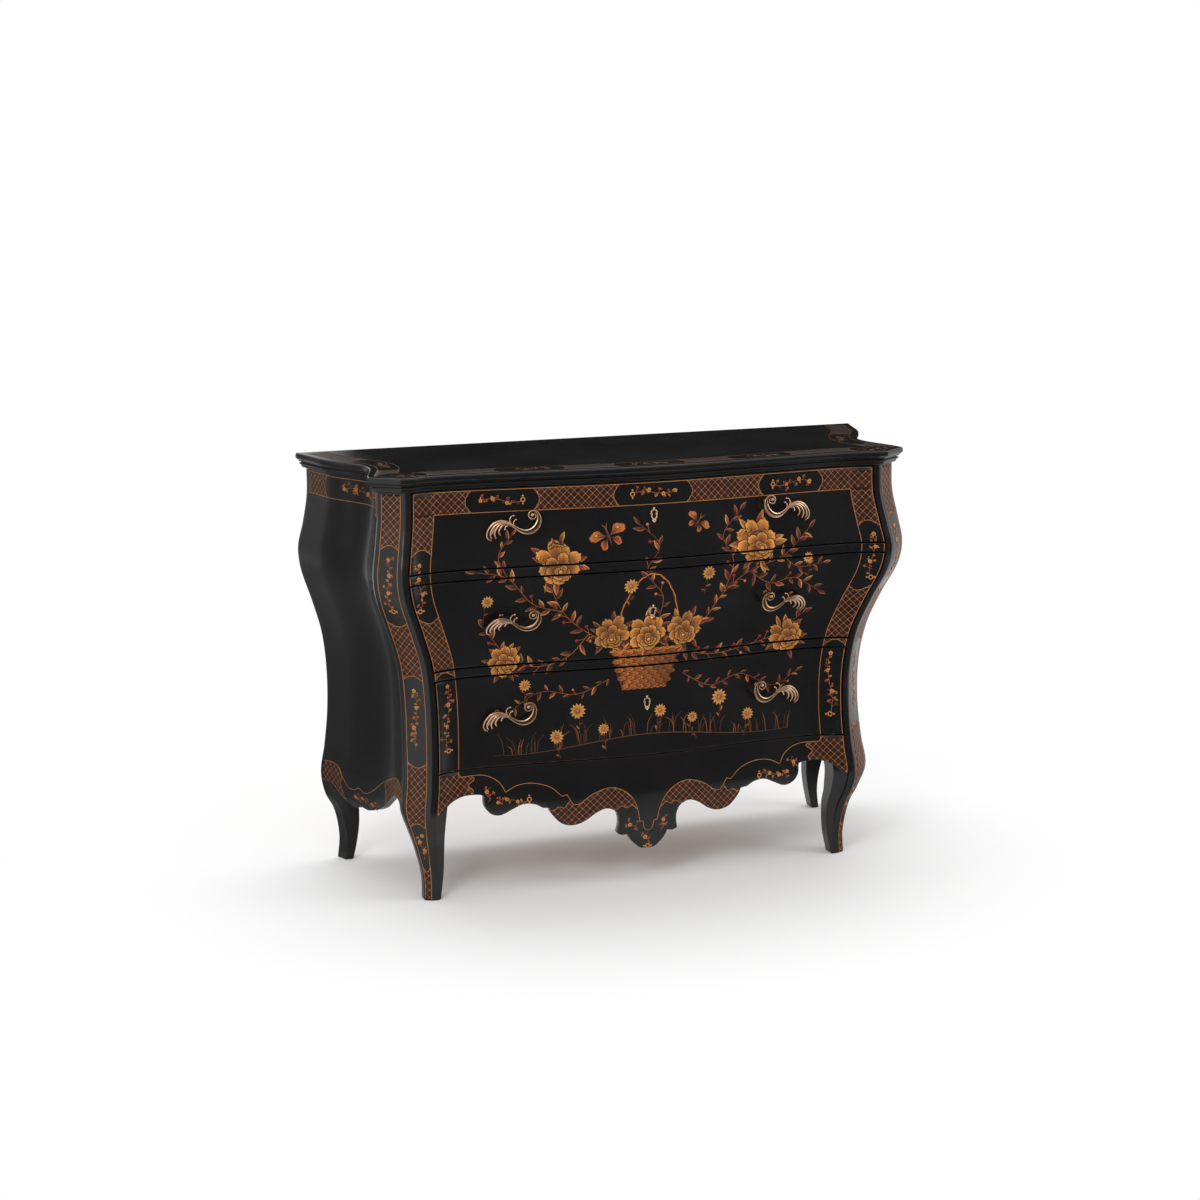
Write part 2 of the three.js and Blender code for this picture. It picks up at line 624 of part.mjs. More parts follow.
// Runner under one side of a drawer, with an upstand that guides the box
function runners() {
  const names = ["top", "middle", "bottom"];
  SPANS.forEach((span, k) => {
    const seat = span.bottom + BOX_LIFT - CLEARANCE;
    const inner = BOX_HALF_WIDTH - RUNNER_OVERLAP;
    const guide = BOX_HALF_WIDTH + RUNNER_SIDE_PLAY;
    const outer = guide + RUNNER_GUIDE_THICKNESS;
    const foot = seat - RUNNER_HEIGHT;
    const section = new THREE.Shape();
    section.moveTo(inner, foot);
    section.lineTo(outer, foot);
    section.lineTo(outer, seat + RUNNER_GUIDE_HEIGHT);
    section.lineTo(guide, seat + RUNNER_GUIDE_HEIGHT);
    section.lineTo(guide, seat);
    section.lineTo(inner, seat);
    const rear = BACK_FACE - CLEARANCE;
    const depth = rear - frontY(inner, seat);
    const bar = new THREE.ExtrudeGeometry(section, { depth, bevelEnabled: false });
    bar.applyMatrix4(new THREE.Matrix4().makeBasis(
      new THREE.Vector3(1, 0, 0), new THREE.Vector3(0, 0, 1), new THREE.Vector3(0, -1, 0)));
    bar.translate(0, rear, 0);
    const skinTop = seat + 2 * RUNNER_GUIDE_HEIGHT;
    const skinDepth = RAIL_THICKNESS + 2 * CLEARANCE;
    const skin = frontBoard(foot - PARTING_GAP, skinTop, skinDepth, 0, RUNNER_SKIN_STEPS);
    const ahead = toManifold(skin).add(toManifold(skin).translate([0, -RAIL_THICKNESS, 0]));
    addPair(`${names[k]}_runner`, toGeometry(toManifold(bar).subtract(ahead)), CARCASS_WOOD);
  });
}

// Place on the drawer front: its point, outward normal, and the directions along and up
function seatFrame(x, z) {
  const step = CLEARANCE;
  const along = new THREE.Vector3(2 * step, frontY(x + step, z) - frontY(x - step, z), 0).normalize();
  const rise = new THREE.Vector3(0, frontY(x, z + step) - frontY(x, z - step), 2 * step).normalize();
  const out = along.clone().cross(rise).normalize();
  const up = out.clone().cross(along).normalize();
  return { origin: new THREE.Vector3(x, frontY(x, z), z), along, up, out };
}

function placed(geometry, frame, side) {
  const matrix = new THREE.Matrix4().makeBasis(frame.along, frame.up, frame.out).setPosition(frame.origin);
  const copy = side > 0 ? geometry.clone() : mirrored(geometry);
  copy.applyMatrix4(matrix);
  return toManifold(copy);
}

// Cylinder along the outward direction of a seat, from one stand-off to another
function pin(radius, low, high, u, v) {
  const cylinder = new THREE.CylinderGeometry(radius, radius, high - low, SCREW_SIDES);
  cylinder.rotateX(Math.PI / 2);
  cylinder.translate(u, v, (low + high) / 2);
  return cylinder;
}

// Scroll bar of a pull in its own seat frame, right-hand version
function pullBar() {
  const spots = PULL_ROUTE_SHARES.map(([along, up, stand]) => {
    return new THREE.Vector3(along * PULL_HALF_WIDTH, up * PULL_HALF_WIDTH, stand * PULL_STAND);
  });
  const route = new THREE.CatmullRomCurve3(spots, false, "centripetal");
  const rings = [];
  for (let k = 0; k <= PULL_BAR_STEPS; k += 1) {
    const t = k / PULL_BAR_STEPS;
    const centre = route.getPoint(t);
    const ahead = route.getTangent(t);
    const across = new THREE.Vector3(0, 0, 1).cross(ahead).normalize();
    const out = ahead.clone().cross(across).normalize();
    const spot = t * (PULL_ROUTE_SHARES.length - 1);
    const low = Math.min(Math.floor(spot), PULL_ROUTE_SHARES.length - 2);
    const mix = THREE.MathUtils.lerp(PULL_ROUTE_SHARES[low][3], PULL_ROUTE_SHARES[low + 1][3], spot - low);
    const wide = PULL_BAR_RADIUS * mix;
    const thick = mix > 1 ? wide * PULL_LEAF_FLATNESS_SHARE : wide;
    const ring = [];
    for (let i = 0; i < PULL_BAR_SIDES; i += 1) {
      const angle = (2 * Math.PI * i) / PULL_BAR_SIDES;
      ring.push(centre.clone()
        .addScaledVector(across, wide * Math.cos(angle))
        .addScaledVector(out, thick * Math.sin(angle)));
    }
    rings.push(ring);
  }
  const points = rings.flat();
  const faces = [];
  const count = PULL_BAR_SIDES;
  for (let k = 0; k < PULL_BAR_STEPS; k += 1) {
    for (let i = 0; i < count; i += 1) {
      const a = k * count + i;
      const b = k * count + ((i + 1) % count);
      faces.push([a, b, b + count], [a, b + count, a + count]);
    }
  }
  const end = PULL_BAR_STEPS * count;
  for (let i = 1; i < count - 1; i += 1) {
    faces.push([0, i + 1, i], [end, end + i, end + i + 1]);
  }
  return solid(points, faces);
}

function pullCasting() {
  const bar = toManifold(pullBar());
  const knob = new THREE.SphereGeometry(PULL_KNOB_RADIUS, KNOB_SIDES, KNOB_RINGS);
  const [knobAlong, knobUp] = PULL_KNOB_PLACE_SHARES;
  knob.translate(knobAlong * PULL_HALF_WIDTH, knobUp * PULL_HALF_WIDTH, PULL_STAND);
  const posts = PULL_POST_PLACES_SHARES.map(([along, up, stand]) => {
    const u = along * PULL_HALF_WIDTH;
    const v = up * PULL_HALF_WIDTH;
    return pin(PULL_POST_RADIUS, -PULL_POST_SINK, stand * PULL_STAND, u, v);
  });
  let body = bar.add(toManifold(knob));
  for (const post of posts) body = body.add(toManifold(post));
  return toGeometry(body);
}

function escutcheonPlate() {
  const outline = new THREE.Shape();
  outline.absellipse(0, 0, ESCUTCHEON_HALF_WIDTH, ESCUTCHEON_HALF_HEIGHT, 0, 2 * Math.PI, false, 0);
  const depth = ESCUTCHEON_THICKNESS + ESCUTCHEON_SINK;
  const plate = new THREE.ExtrudeGeometry(outline, {
    depth,
    bevelEnabled: false,
    curveSegments: PLATE_CURVE_STEPS,
  });
  plate.translate(0, 0, -ESCUTCHEON_SINK);
  let body = toManifold(plate);
  for (const side of [1, -1]) {
    const height = side * ESCUTCHEON_HALF_HEIGHT;
    const bead = pin(ESCUTCHEON_BEAD_RADIUS, -ESCUTCHEON_SINK, ESCUTCHEON_THICKNESS, 0, height);
    body = body.add(toManifold(bead));
  }
  const deep = ESCUTCHEON_SINK + CLEARANCE;
  const high = ESCUTCHEON_THICKNESS + CLEARANCE;
  const eye = pin(KEYHOLE_RADIUS, -deep, high, 0, KEYHOLE_RADIUS / 2);
  const slot = plainBoard(
    new THREE.Vector3(-KEYHOLE_SLOT_WIDTH / 2, -KEYHOLE_SLOT_LENGTH, -deep),
    new THREE.Vector3(KEYHOLE_SLOT_WIDTH / 2, 0, high));
  return toGeometry(body.subtract(toManifold(eye)).subtract(toManifold(slot)));
}

function screwBody() {
  const tip = SCREW_BORE_DEPTH - SCREW_TIP_GAP;
  const headTop = -FRONT_THICKNESS - CLEARANCE;
  const headEnd = headTop - SCREW_HEAD_HEIGHT;
  const profile = [
    [0, tip], [SCREW_RADIUS, tip - SCREW_RADIUS / 2], [SCREW_RADIUS, headTop],
    [SCREW_HEAD_RADIUS, headTop], [SCREW_HEAD_RADIUS, headEnd], [0, headEnd],
  ].map(([r, h]) => new THREE.Vector2(r, h)).reverse();
  const lathe = new THREE.LatheGeometry(profile, SCREW_SIDES);
  lathe.rotateX(Math.PI / 2);
  return toGeometry(toManifold(lathe));
}

// One drawer: swelling front, box, pulls, screws and escutcheon
function drawer(name, span, k) {
  const endGap = PARTING_GAP / 2;
  const slab = frontBoard(span.bottom, span.top, FRONT_THICKNESS, endGap, DRAWER_RISE_STEPS);
  const skin = toManifold(frontBoard(
    span.bottom - CLEARANCE, span.top + CLEARANCE, FRONT_THICKNESS, endGap, DRAWER_RISE_STEPS));
  const trim = skin.translate([0, -CLEARANCE, 0]).add(skin);
  let front = toManifold(slab);
  const casting = pullCasting();
  const height = span.top - span.bottom;
  const pullHeight = span.bottom + height * PULL_HEIGHT_SHARES[k];
  for (const [sideName, side] of [["right", 1], ["left", -1]]) {
    const frame = seatFrame(side * PULL_CENTRE_HALF, pullHeight);
    let pull = placed(casting, frame, side).subtract(trim);
    PULL_POST_PLACES_SHARES.forEach(([along, up], n) => {
      const u = along * PULL_HALF_WIDTH;
      const v = up * PULL_HALF_WIDTH;
      const bore = pin(SCREW_BORE_RADIUS, -FRONT_THICKNESS - PULL_POST_SINK, SCREW_BORE_DEPTH, u, v);
      pull = pull.subtract(placed(bore, frame, side));
      front = front.subtract(placed(bore, frame, side));
      const screw = screwBody();
      screw.translate(u, v, -PARTING_GAP);
      finish(`${name}_${sideName}_pull_screw_${n + 1}`, toGeometry(placed(screw, frame, side)), STEEL);
    });
    finish(`${name}_${sideName}_pull`, toGeometry(pull), BRASS);
  }
  const lockHeight = span.bottom + height * ESCUTCHEON_HEIGHT_SHARES[k];
  const plate = placed(escutcheonPlate(), seatFrame(0, lockHeight), 1).subtract(trim);
  finish(`${name}_escutcheon`, toGeometry(plate), BRASS);
  finish(`${name}_front`, toGeometry(front), LACQUER);

  const low = span.bottom + BOX_LIFT;
  const high = span.top - BOX_TOP_DROP;
  const boxRear = BACK_FACE - BOX_STOP_GAP;
  const behind = (x, z) => frontY(x, z) + FRONT_THICKNESS + 2 * CLEARANCE;
  const sidePoint = (u, v, x) => {
    const z = low + (high - low) * v;
    const start = behind(x, z);
    return new THREE.Vector3(x, start + (boxRear - start) * u, z);
  };
  const side = board([0, 1], evenShares(BOX_RISE_STEPS),
    (u, v) => sidePoint(u, v, BOX_HALF_WIDTH),
    (u, v) => sidePoint(u, v, BOX_HALF_WIDTH - BOX_SIDE_THICKNESS));
  addPair(`${name}_box_side`, side, DRAWER_WOOD);
  const half = BOX_HALF_WIDTH - BOX_SIDE_THICKNESS - CLEARANCE;
  const floor = low + BOX_BOTTOM_RAISE;
  const backFace = boxRear - BOX_BACK_THICKNESS;
  finish(`${name}_box_back`, plainBoard(
    new THREE.Vector3(-half, backFace, low), new THREE.Vector3(half, boxRear, high)), DRAWER_WOOD);
  const floorPoint = (u, v, z) => {
    const x = u * half;
    const start = behind(x, z);
    return new THREE.Vector3(x, start + (backFace - CLEARANCE - start) * v, z);
  };
  const panel = board(crowdedShares(FRONT_STEPS), [0, 1],
    (u, v) => floorPoint(u, v, floor + BOX_BOTTOM_THICKNESS),
    (u, v) => floorPoint(u, v, floor));
  finish(`${name}_box_bottom`, panel, DRAWER_WOOD);
}

topSlab();
frontPost();
backPost();
sidePanel();
backPanel();
topStretcher();
frontRails();
frontApron();
runners();
["top_drawer", "middle_drawer", "bottom_drawer"].forEach((name, k) => drawer(name, SPANS[k], k));

// The origin lies under the middle of the top, which is the deepest piece
const noseFront = casePlan(CASE_HEIGHT).centre - NOSE_OVERHANG;
const middle = (noseFront + BACK_REACH + TOP_BACK_OVERHANG) / 2;
for (const mesh of group.children) mesh.geometry.translate(0, -middle, 0);

export default group;
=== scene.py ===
# Black-lacquered commode: finished surfaces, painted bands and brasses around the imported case.
import math
import random

import bmesh
import bpy
import numpy as np
from mathutils import Matrix, Vector
from mathutils.geometry import delaunay_2d_cdt


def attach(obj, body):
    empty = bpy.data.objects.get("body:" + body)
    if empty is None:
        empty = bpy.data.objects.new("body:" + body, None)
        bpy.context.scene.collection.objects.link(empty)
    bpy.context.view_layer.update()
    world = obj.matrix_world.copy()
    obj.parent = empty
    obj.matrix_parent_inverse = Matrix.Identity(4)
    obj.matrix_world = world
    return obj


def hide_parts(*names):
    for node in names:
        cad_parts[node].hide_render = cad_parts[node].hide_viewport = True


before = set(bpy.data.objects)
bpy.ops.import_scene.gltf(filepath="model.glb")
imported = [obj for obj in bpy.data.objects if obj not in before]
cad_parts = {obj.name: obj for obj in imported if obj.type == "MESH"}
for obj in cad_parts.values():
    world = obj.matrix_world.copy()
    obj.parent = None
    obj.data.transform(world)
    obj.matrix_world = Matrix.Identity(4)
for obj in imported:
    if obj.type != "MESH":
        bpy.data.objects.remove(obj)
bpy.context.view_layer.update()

# Case, in millimetres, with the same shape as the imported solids
MM = 0.001
CASE_HEIGHT = 868
TOP_THICKNESS = 32
CASE_HALF_WIDTH = 537
CASE_HALF_BACK = 647
FRONT_REACH = 221
BACK_REACH = 225
CANT_WIDTH = 45.5
CANT_DEPTH = 50
CENTRE_SWELL = 20
FRONT_HOLLOW = 24
SIDE_HOLLOW_TOP = 36
SIDE_HOLLOW_LOW = 12
CASE_SHAPE_SHARES = np.array([
    [0, 0.862, 0.618, 0.36, 0.19, 0.896, 0],
    [0.058, 0.861, 0.608, 0.37, 0.22, 0.889, 0],
    [0.127, 0.872, 0.66, 0.55, 0.48, 0.904, 0.05],
    [0.173, 0.885, 0.747, 0.72, 0.62, 0.934, 0.1],
    [0.23, 0.891, 0.814, 1, 0.8, 0.946, 0.2],
    [0.3, 0.879, 0.782, 1, 0.88, 0.931, 0.2],
    [0.392, 0.872, 0.744, 1, 1, 0.918, 0.25],
    [0.495, 0.875, 0.739, 1, 1, 0.917, 0.3],
    [0.588, 0.895, 0.787, 1, 0.96, 0.93, 0.3],
    [0.668, 0.938, 0.873, 1, 0.96, 0.959, 0.2],
    [0.749, 0.987, 0.98, 1, 0.88, 0.993, 0.05],
    [0.806, 1, 1, 1, 0.86, 1, 0.1],
    [0.864, 0.987, 0.941, 1, 0.76, 0.982, 0.4],
    [0.933, 0.97, 0.873, 1, 0.7, 0.966, 0.8],
    [1, 0.967, 0.86, 1, 0.68, 0.964, 1],
])
STRIP_WIDTH = 15
PARTING_GAP = 3
RAIL_HEIGHT = 21.25
DRAWER_HEIGHTS = (162, 191, 193.5)
DRAWER_NAMES = ("top_drawer", "middle_drawer", "bottom_drawer")
APRON_TOP = CASE_HEIGHT - sum(DRAWER_HEIGHTS) - 2 * RAIL_HEIGHT
LEG_TOP = APRON_TOP - 78
KNEE_TOP = APRON_TOP - 17
KNEE_WIDTH = 46
FOOT_WIDTH = 17
BACK_POST_WIDTH = 112
BACK_FOOT_TAPER = 16
NOSE_OVERHANG = 15.5
TOP_BACK_OVERHANG = 4
TOP_CORNER_FLARE = 6
TOP_BACK_FLARE = 6
TOP_COAT = 0.52
SEAM = 0.15
TOP_GAP = 0.3
SIDE_LAP = 1.2
DRAWER_FRONT_THICKNESS = 19
RAIL_THICKNESS = 20
APRON_THICKNESS = 20
APRON_LAP_THICKNESS = 6.5
APRON_LAP_MARGIN = 12
SIDE_THICKNESS = 15
FRONT_POST_DEPTH = 26
BACK_POST_DEPTH = 28
DRAWER_EDGE_EASE = 0.9
EDGE_EASE = 0.8
POST_EDGE_EASE = 3
BACK_POST_EDGE_EASE = 2

# Where the hollows of front and side are deepest or end, as shares, and how the back and the apron lean
FRONT_HOLLOW_SHARE = 0.78
SIDE_HOLLOW_SHARE = 0.75
SIDE_HOLLOW_FOOT_SHARE = 0.17
SIDE_BACK_ROUNDING = 0.25
APRON_RAKE = 0.11


def smooth_column(column, at):
    """One column of the table of shares, read smoothly at shares of the height."""
    x, p = CASE_SHAPE_SHARES[:, 0], CASE_SHAPE_SHARES[:, column]
    slope = np.gradient(p, x)
    slope[1:-1] = (p[2:] - p[:-2]) / (x[2:] - x[:-2])
    i = np.clip(np.searchsorted(x, at) - 1, 0, len(x) - 2)
    span = x[i + 1] - x[i]
    t = (np.clip(at, 0, 1) - x[i]) / span
    rise = 3 * t ** 2 - 2 * t ** 3
    lean = (t ** 3 - 2 * t ** 2 + t) * slope[i] + (t ** 3 - t ** 2) * slope[i + 1]
    return (1 - rise) * p[i] + rise * p[i + 1] + lean * span


class Plan:
    """Plan of the case at heights z: half widths and depths of its corners, in millimetres."""

    def __init__(self, z):
        z = np.asarray(z, float)
        share = z / CASE_HEIGHT
        self.arris = CASE_HALF_WIDTH * smooth_column(1, share)
        self.front = -FRONT_REACH * smooth_column(2, share)
        self.opening = self.arris - STRIP_WIDTH
        self.cant_out = self.arris + CANT_WIDTH * smooth_column(3, share)
        self.cant_back = self.front + CANT_DEPTH * smooth_column(4, share)
        self.back = CASE_HALF_BACK * smooth_column(5, share)
        self.centre = self.front - CENTRE_SWELL * smooth_column(6, share)


def front_depth(x, z):
    """Serpentine front surface."""
    plan = Plan(z)
    t = np.minimum(np.abs(x) / plan.opening, 1)
    rising = np.sin(math.pi / 2 * t / FRONT_HOLLOW_SHARE) ** 2
    falling = 1 - np.maximum((t - FRONT_HOLLOW_SHARE) / (1 - FRONT_HOLLOW_SHARE), 0) ** 2.5
    hollow = np.where(t < FRONT_HOLLOW_SHARE, rising, falling)
    return plan.centre + FRONT_HOLLOW * hollow + (plan.front - plan.centre) * t ** 4


def side_reach(y, z):
    """Half width of the case at depth y and height z."""
    plan = Plan(z)
    s = np.clip((y - plan.cant_back) / (BACK_REACH - plan.cant_back), 0, 1)
    level = np.maximum(np.asarray(z) / CASE_HEIGHT - SIDE_HOLLOW_FOOT_SHARE, 0) / (1 - SIDE_HOLLOW_FOOT_SHARE)
    depth = SIDE_HOLLOW_LOW + (SIDE_HOLLOW_TOP - SIDE_HOLLOW_LOW) * level
    wave = np.where(s < SIDE_HOLLOW_SHARE, np.sin(math.pi * s / SIDE_HOLLOW_SHARE) ** 2, 0)
    rise = (1 + SIDE_BACK_ROUNDING) * s ** 2 - SIDE_BACK_ROUNDING * s ** 4
    return plan.cant_out + (plan.back - plan.cant_out) * rise - depth * wave


def apron_depth(x, z):
    """Front surface carried down past the leg's top with a slight rake."""
    below = np.maximum(LEG_TOP - np.asarray(z), 0)
    return front_depth(x, z + below) + APRON_RAKE * below


DEPTH_MIDDLE = (Plan(CASE_HEIGHT).centre - NOSE_OVERHANG + BACK_REACH + TOP_BACK_OVERHANG) / 2


def drawer_spans():
    spans, top = [], CASE_HEIGHT
    for height in DRAWER_HEIGHTS:
        spans.append((top - height + PARTING_GAP / 2, top - PARTING_GAP / 2))
        top -= height + RAIL_HEIGHT
    return spans


SPANS = drawer_spans()
RAIL_SPANS = [(SPANS[k + 1][1] + PARTING_GAP, SPANS[k][0] - PARTING_GAP) for k in (0, 1)]


# Making meshes: reach in millimetres, angles in degrees
WELD_REACH = 0.01
BEVEL_SEGMENTS = 2
BEVEL_ANGLE = 35
EASED_ANGLE = 48
SHARP_ANGLE = 35
LOFT_ANGLE = 32
SIDE_ANGLE = 50
FINE_ANGLE = 60


def face_outward(mesh, weld=False):
    """Turns a mesh's faces outward, with points that lie together joined first if weld is set."""
    form = bmesh.new()
    form.from_mesh(mesh)
    if weld:
        bmesh.ops.remove_doubles(form, verts=form.verts, dist=WELD_REACH * MM)
        bmesh.ops.dissolve_degenerate(form, edges=form.edges, dist=WELD_REACH / 2 * MM)
    bmesh.ops.recalc_face_normals(form, faces=form.faces)
    form.to_mesh(mesh)
    form.free()


def shade_by_angle(mesh, angle):
    """Smooth shading that stays sharp where faces meet at more than an angle in degrees."""
    mesh.shade_smooth()
    mesh.set_sharp_from_angle(angle=math.radians(angle))


def new_piece(name, points, faces, looks, smooth=SHARP_ANGLE, merge=True, slots=None, colours=None, uvs=None):
    """A mesh object from points in millimetres. smooth is the angle of its sharp edges in degrees."""
    points = np.asarray(points, float) - np.array([0, DEPTH_MIDDLE, 0])
    mesh = bpy.data.meshes.new(name)
    mesh.from_pydata((points * MM).tolist(), [], faces)
    for look in looks:
        mesh.materials.append(look)
    if slots is not None:
        mesh.polygons.foreach_set("material_index", np.array(slots, np.int32))
    if colours is not None:
        layer = mesh.color_attributes.new("paint", "FLOAT_COLOR", "POINT")
        rgba = np.ones((len(points), 4), np.float32)
        rgba[:, :3] = colours
        layer.data.foreach_set("color", rgba.ravel())
    if uvs is not None:
        layer = mesh.uv_layers.new(name="band")
        corner = np.zeros(len(mesh.loops), np.int32)
        mesh.loops.foreach_get("vertex_index", corner)
        layer.data.foreach_set("uv", (np.array(uvs, np.float32) * MM)[corner].ravel())
    if merge:
        face_outward(mesh, weld=True)
    piece = bpy.data.objects.new(name, mesh)
    bpy.context.scene.collection.objects.link(piece)
    shade_by_angle(mesh, smooth)
    return piece


def bake(piece):
    """Puts the result of the piece's modifiers into its mesh and takes them off."""
    view = bpy.context.evaluated_depsgraph_get()
    mesh = bpy.data.meshes.new_from_object(piece.evaluated_get(view))
    piece.modifiers.clear()
    piece.data = mesh
    return piece


def ease_edges(piece, width):
    """Rounds the sharp edges of a board a little, as a rubbed lacquer edge is."""
    bevel = piece.modifiers.new("eased_edges", "BEVEL")
    bevel.width = width * MM
    bevel.segments = BEVEL_SEGMENTS
    bevel.limit_method = "ANGLE"
    bevel.angle_limit = math.radians(BEVEL_ANGLE)
    bevel.harden_normals = False
    bake(piece)
    shade_by_angle(piece.data, EASED_ANGLE)


def settle(piece, body, slot, *nodes):
    """Hands a finished piece to its body and hides the CAD nodes that it stands for. The slot that it is
    given is not used.
    """
    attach(piece, body)
    if nodes:
        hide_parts(*nodes)


def both_hands(kind, node, points, faces, smooth):
    """A lacquered piece of the case on the right-hand side and its mirror on the left."""
    for hand, way in (("right", 1), ("left", -1)):
        spots = np.asarray(points) * np.array([way, 1, 1])
        piece = new_piece(f"{hand}_lacquered_{kind}", spots, faces, [LACQUER], smooth=smooth)
        settle(piece, "case", "black_lacquer", f"{hand}_{node}")


def grid_faces(rows, columns):
    """Four-sided faces of a grid of points, row after row."""
    across = columns + 1
    return [(r * across + c, r * across + c + 1, (r + 1) * across + c + 1, (r + 1) * across + c)
            for r in range(rows) for c in range(columns)]


def board(us, vs, outer, inner):
    """Closed board between two surfaces given as functions of grids u and v."""
    u, v = np.meshgrid(us, vs)
    layers = [np.stack(np.broadcast_arrays(*surface(u, v)), -1).reshape(-1, 3)
              for surface in (outer, inner)]
    row, count = len(us), len(us) * len(vs)
    faces = []
    for j in range(len(vs) - 1):
        for i in range(row - 1):
            a = j * row + i
            faces.append((a, a + 1, a + row + 1, a + row))
            faces.append((a + count, a + row + count, a + row + 1 + count, a + 1 + count))
    for i in range(row - 1):
        for a in (i, (len(vs) - 1) * row + i):
            faces.append((a, a + 1, a + 1 + count, a + count))
    for j in range(len(vs) - 1):
        for a in (j * row, j * row + row - 1):
            faces.append((a, a + row, a + row + count, a + count))
    return np.vstack(layers), faces


def loft(rings):
    """Closed body through rings of equal point counts, capped flat at both ends."""
    count = len(rings[0])
    faces = []
    for k in range(len(rings) - 1):
        for i in range(count):
            a, b = k * count + i, k * count + (i + 1) % count
            faces.append((a, b, b + count, a + count))
    faces.append(tuple(range(count)))
    faces.append(tuple(range((len(rings) - 1) * count, len(rings) * count)))
    return np.vstack(rings), faces


# Outlines: smooth stretches between kept corners
def smooth_line(spots, steps):
    """Smooth line through spots, with a number of steps between each two."""
    spots = [np.array(p, float) for p in spots]
    spots = [2 * spots[0] - spots[1]] + spots + [2 * spots[-1] - spots[-2]]
    line = []
    for a, b, c, d in zip(spots, spots[1:], spots[2:], spots[3:]):
        for t in np.arange(steps) / steps:
            line.append(0.5 * (2 * b + (c - a) * t + (2 * a - 5 * b + 4 * c - d) * t ** 2
                               + (3 * b - a - 3 * c + d) * t ** 3))
    line.append(spots[-2])
    return np.array(line)


def cornered_line(spots, corners, steps):
    """Smooth line through spots that turns sharply at the numbered corners."""
    marks = [0, *corners, len(spots) - 1]
    parts = [smooth_line(spots[a:b + 1], steps)[:-1] for a, b in zip(marks, marks[1:])]
    return np.vstack([*parts, [spots[-1]]])


def inside(points, outline):
    """Which points lie inside a closed outline."""
    x, y = np.asarray(points).T
    within = np.zeros(len(x), bool)
    ends = np.roll(outline, -1, axis=0)
    for (x0, y0), (x1, y1) in zip(outline, ends):
        if y0 == y1:
            continue
        crosses = (y0 > y) != (y1 > y)
        within ^= crosses & (x < (x1 - x0) * (y - y0) / (y1 - y0) + x0)
    return within


def fill_outline(outline, grain):
    """Flat points and triangles that fill an outline, with rows of inner points a grain apart."""
    outline = np.asarray(outline, float)
    low, high = outline.min(0), outline.max(0)
    xs = np.arange(low[0] + grain / 2, high[0], grain)
    ys = np.arange(low[1] + grain / 2, high[1], grain)
    grid = np.stack(np.meshgrid(xs, ys), -1).reshape(-1, 2)
    grid = grid[inside(grid, outline)] if len(grid) else grid
    if len(grid):
        ends = np.roll(outline, -1, axis=0)
        reach = np.full(len(grid), np.inf)
        for a, b in zip(outline, ends):
            along = b - a
            size = max(along @ along, 1e-9)
            t = np.clip((grid - a) @ along / size, 0, 1)
            reach = np.minimum(reach, np.linalg.norm(grid - a - t[:, None] * along, axis=1))
        grid = grid[reach > grain * 0.35]
    spots = [Vector(p) for p in np.vstack([outline, grid])]
    edges = [(i, (i + 1) % len(outline)) for i in range(len(outline))]
    spots, _, faces, *_ = delaunay_2d_cdt(spots, edges, [list(range(len(outline)))], 1, 1e-5)
    return np.array([tuple(p) for p in spots]), [tuple(f) for f in faces]


def slab_from_outline(outline, grain, outer, inner):
    """Closed slab: an outline filled twice, on an outer and an inner surface, with its edge wall."""
    flat, faces = fill_outline(outline, grain)
    count = len(flat)
    layers = [np.stack(np.broadcast_arrays(*surface(*flat.T)), -1) for surface in (outer, inner)]
    sides = {}
    for face in faces:
        for a, b in zip(face, face[1:] + face[:1]):
            key = (min(a, b), max(a, b))
            sides[key] = sides.get(key, 0) + 1
    walls = [(a, b, b + count, a + count) for (a, b), uses in sides.items() if uses == 1]
    under = [tuple(i + count for i in reversed(face)) for face in faces]
    return np.vstack(layers), faces + under + walls


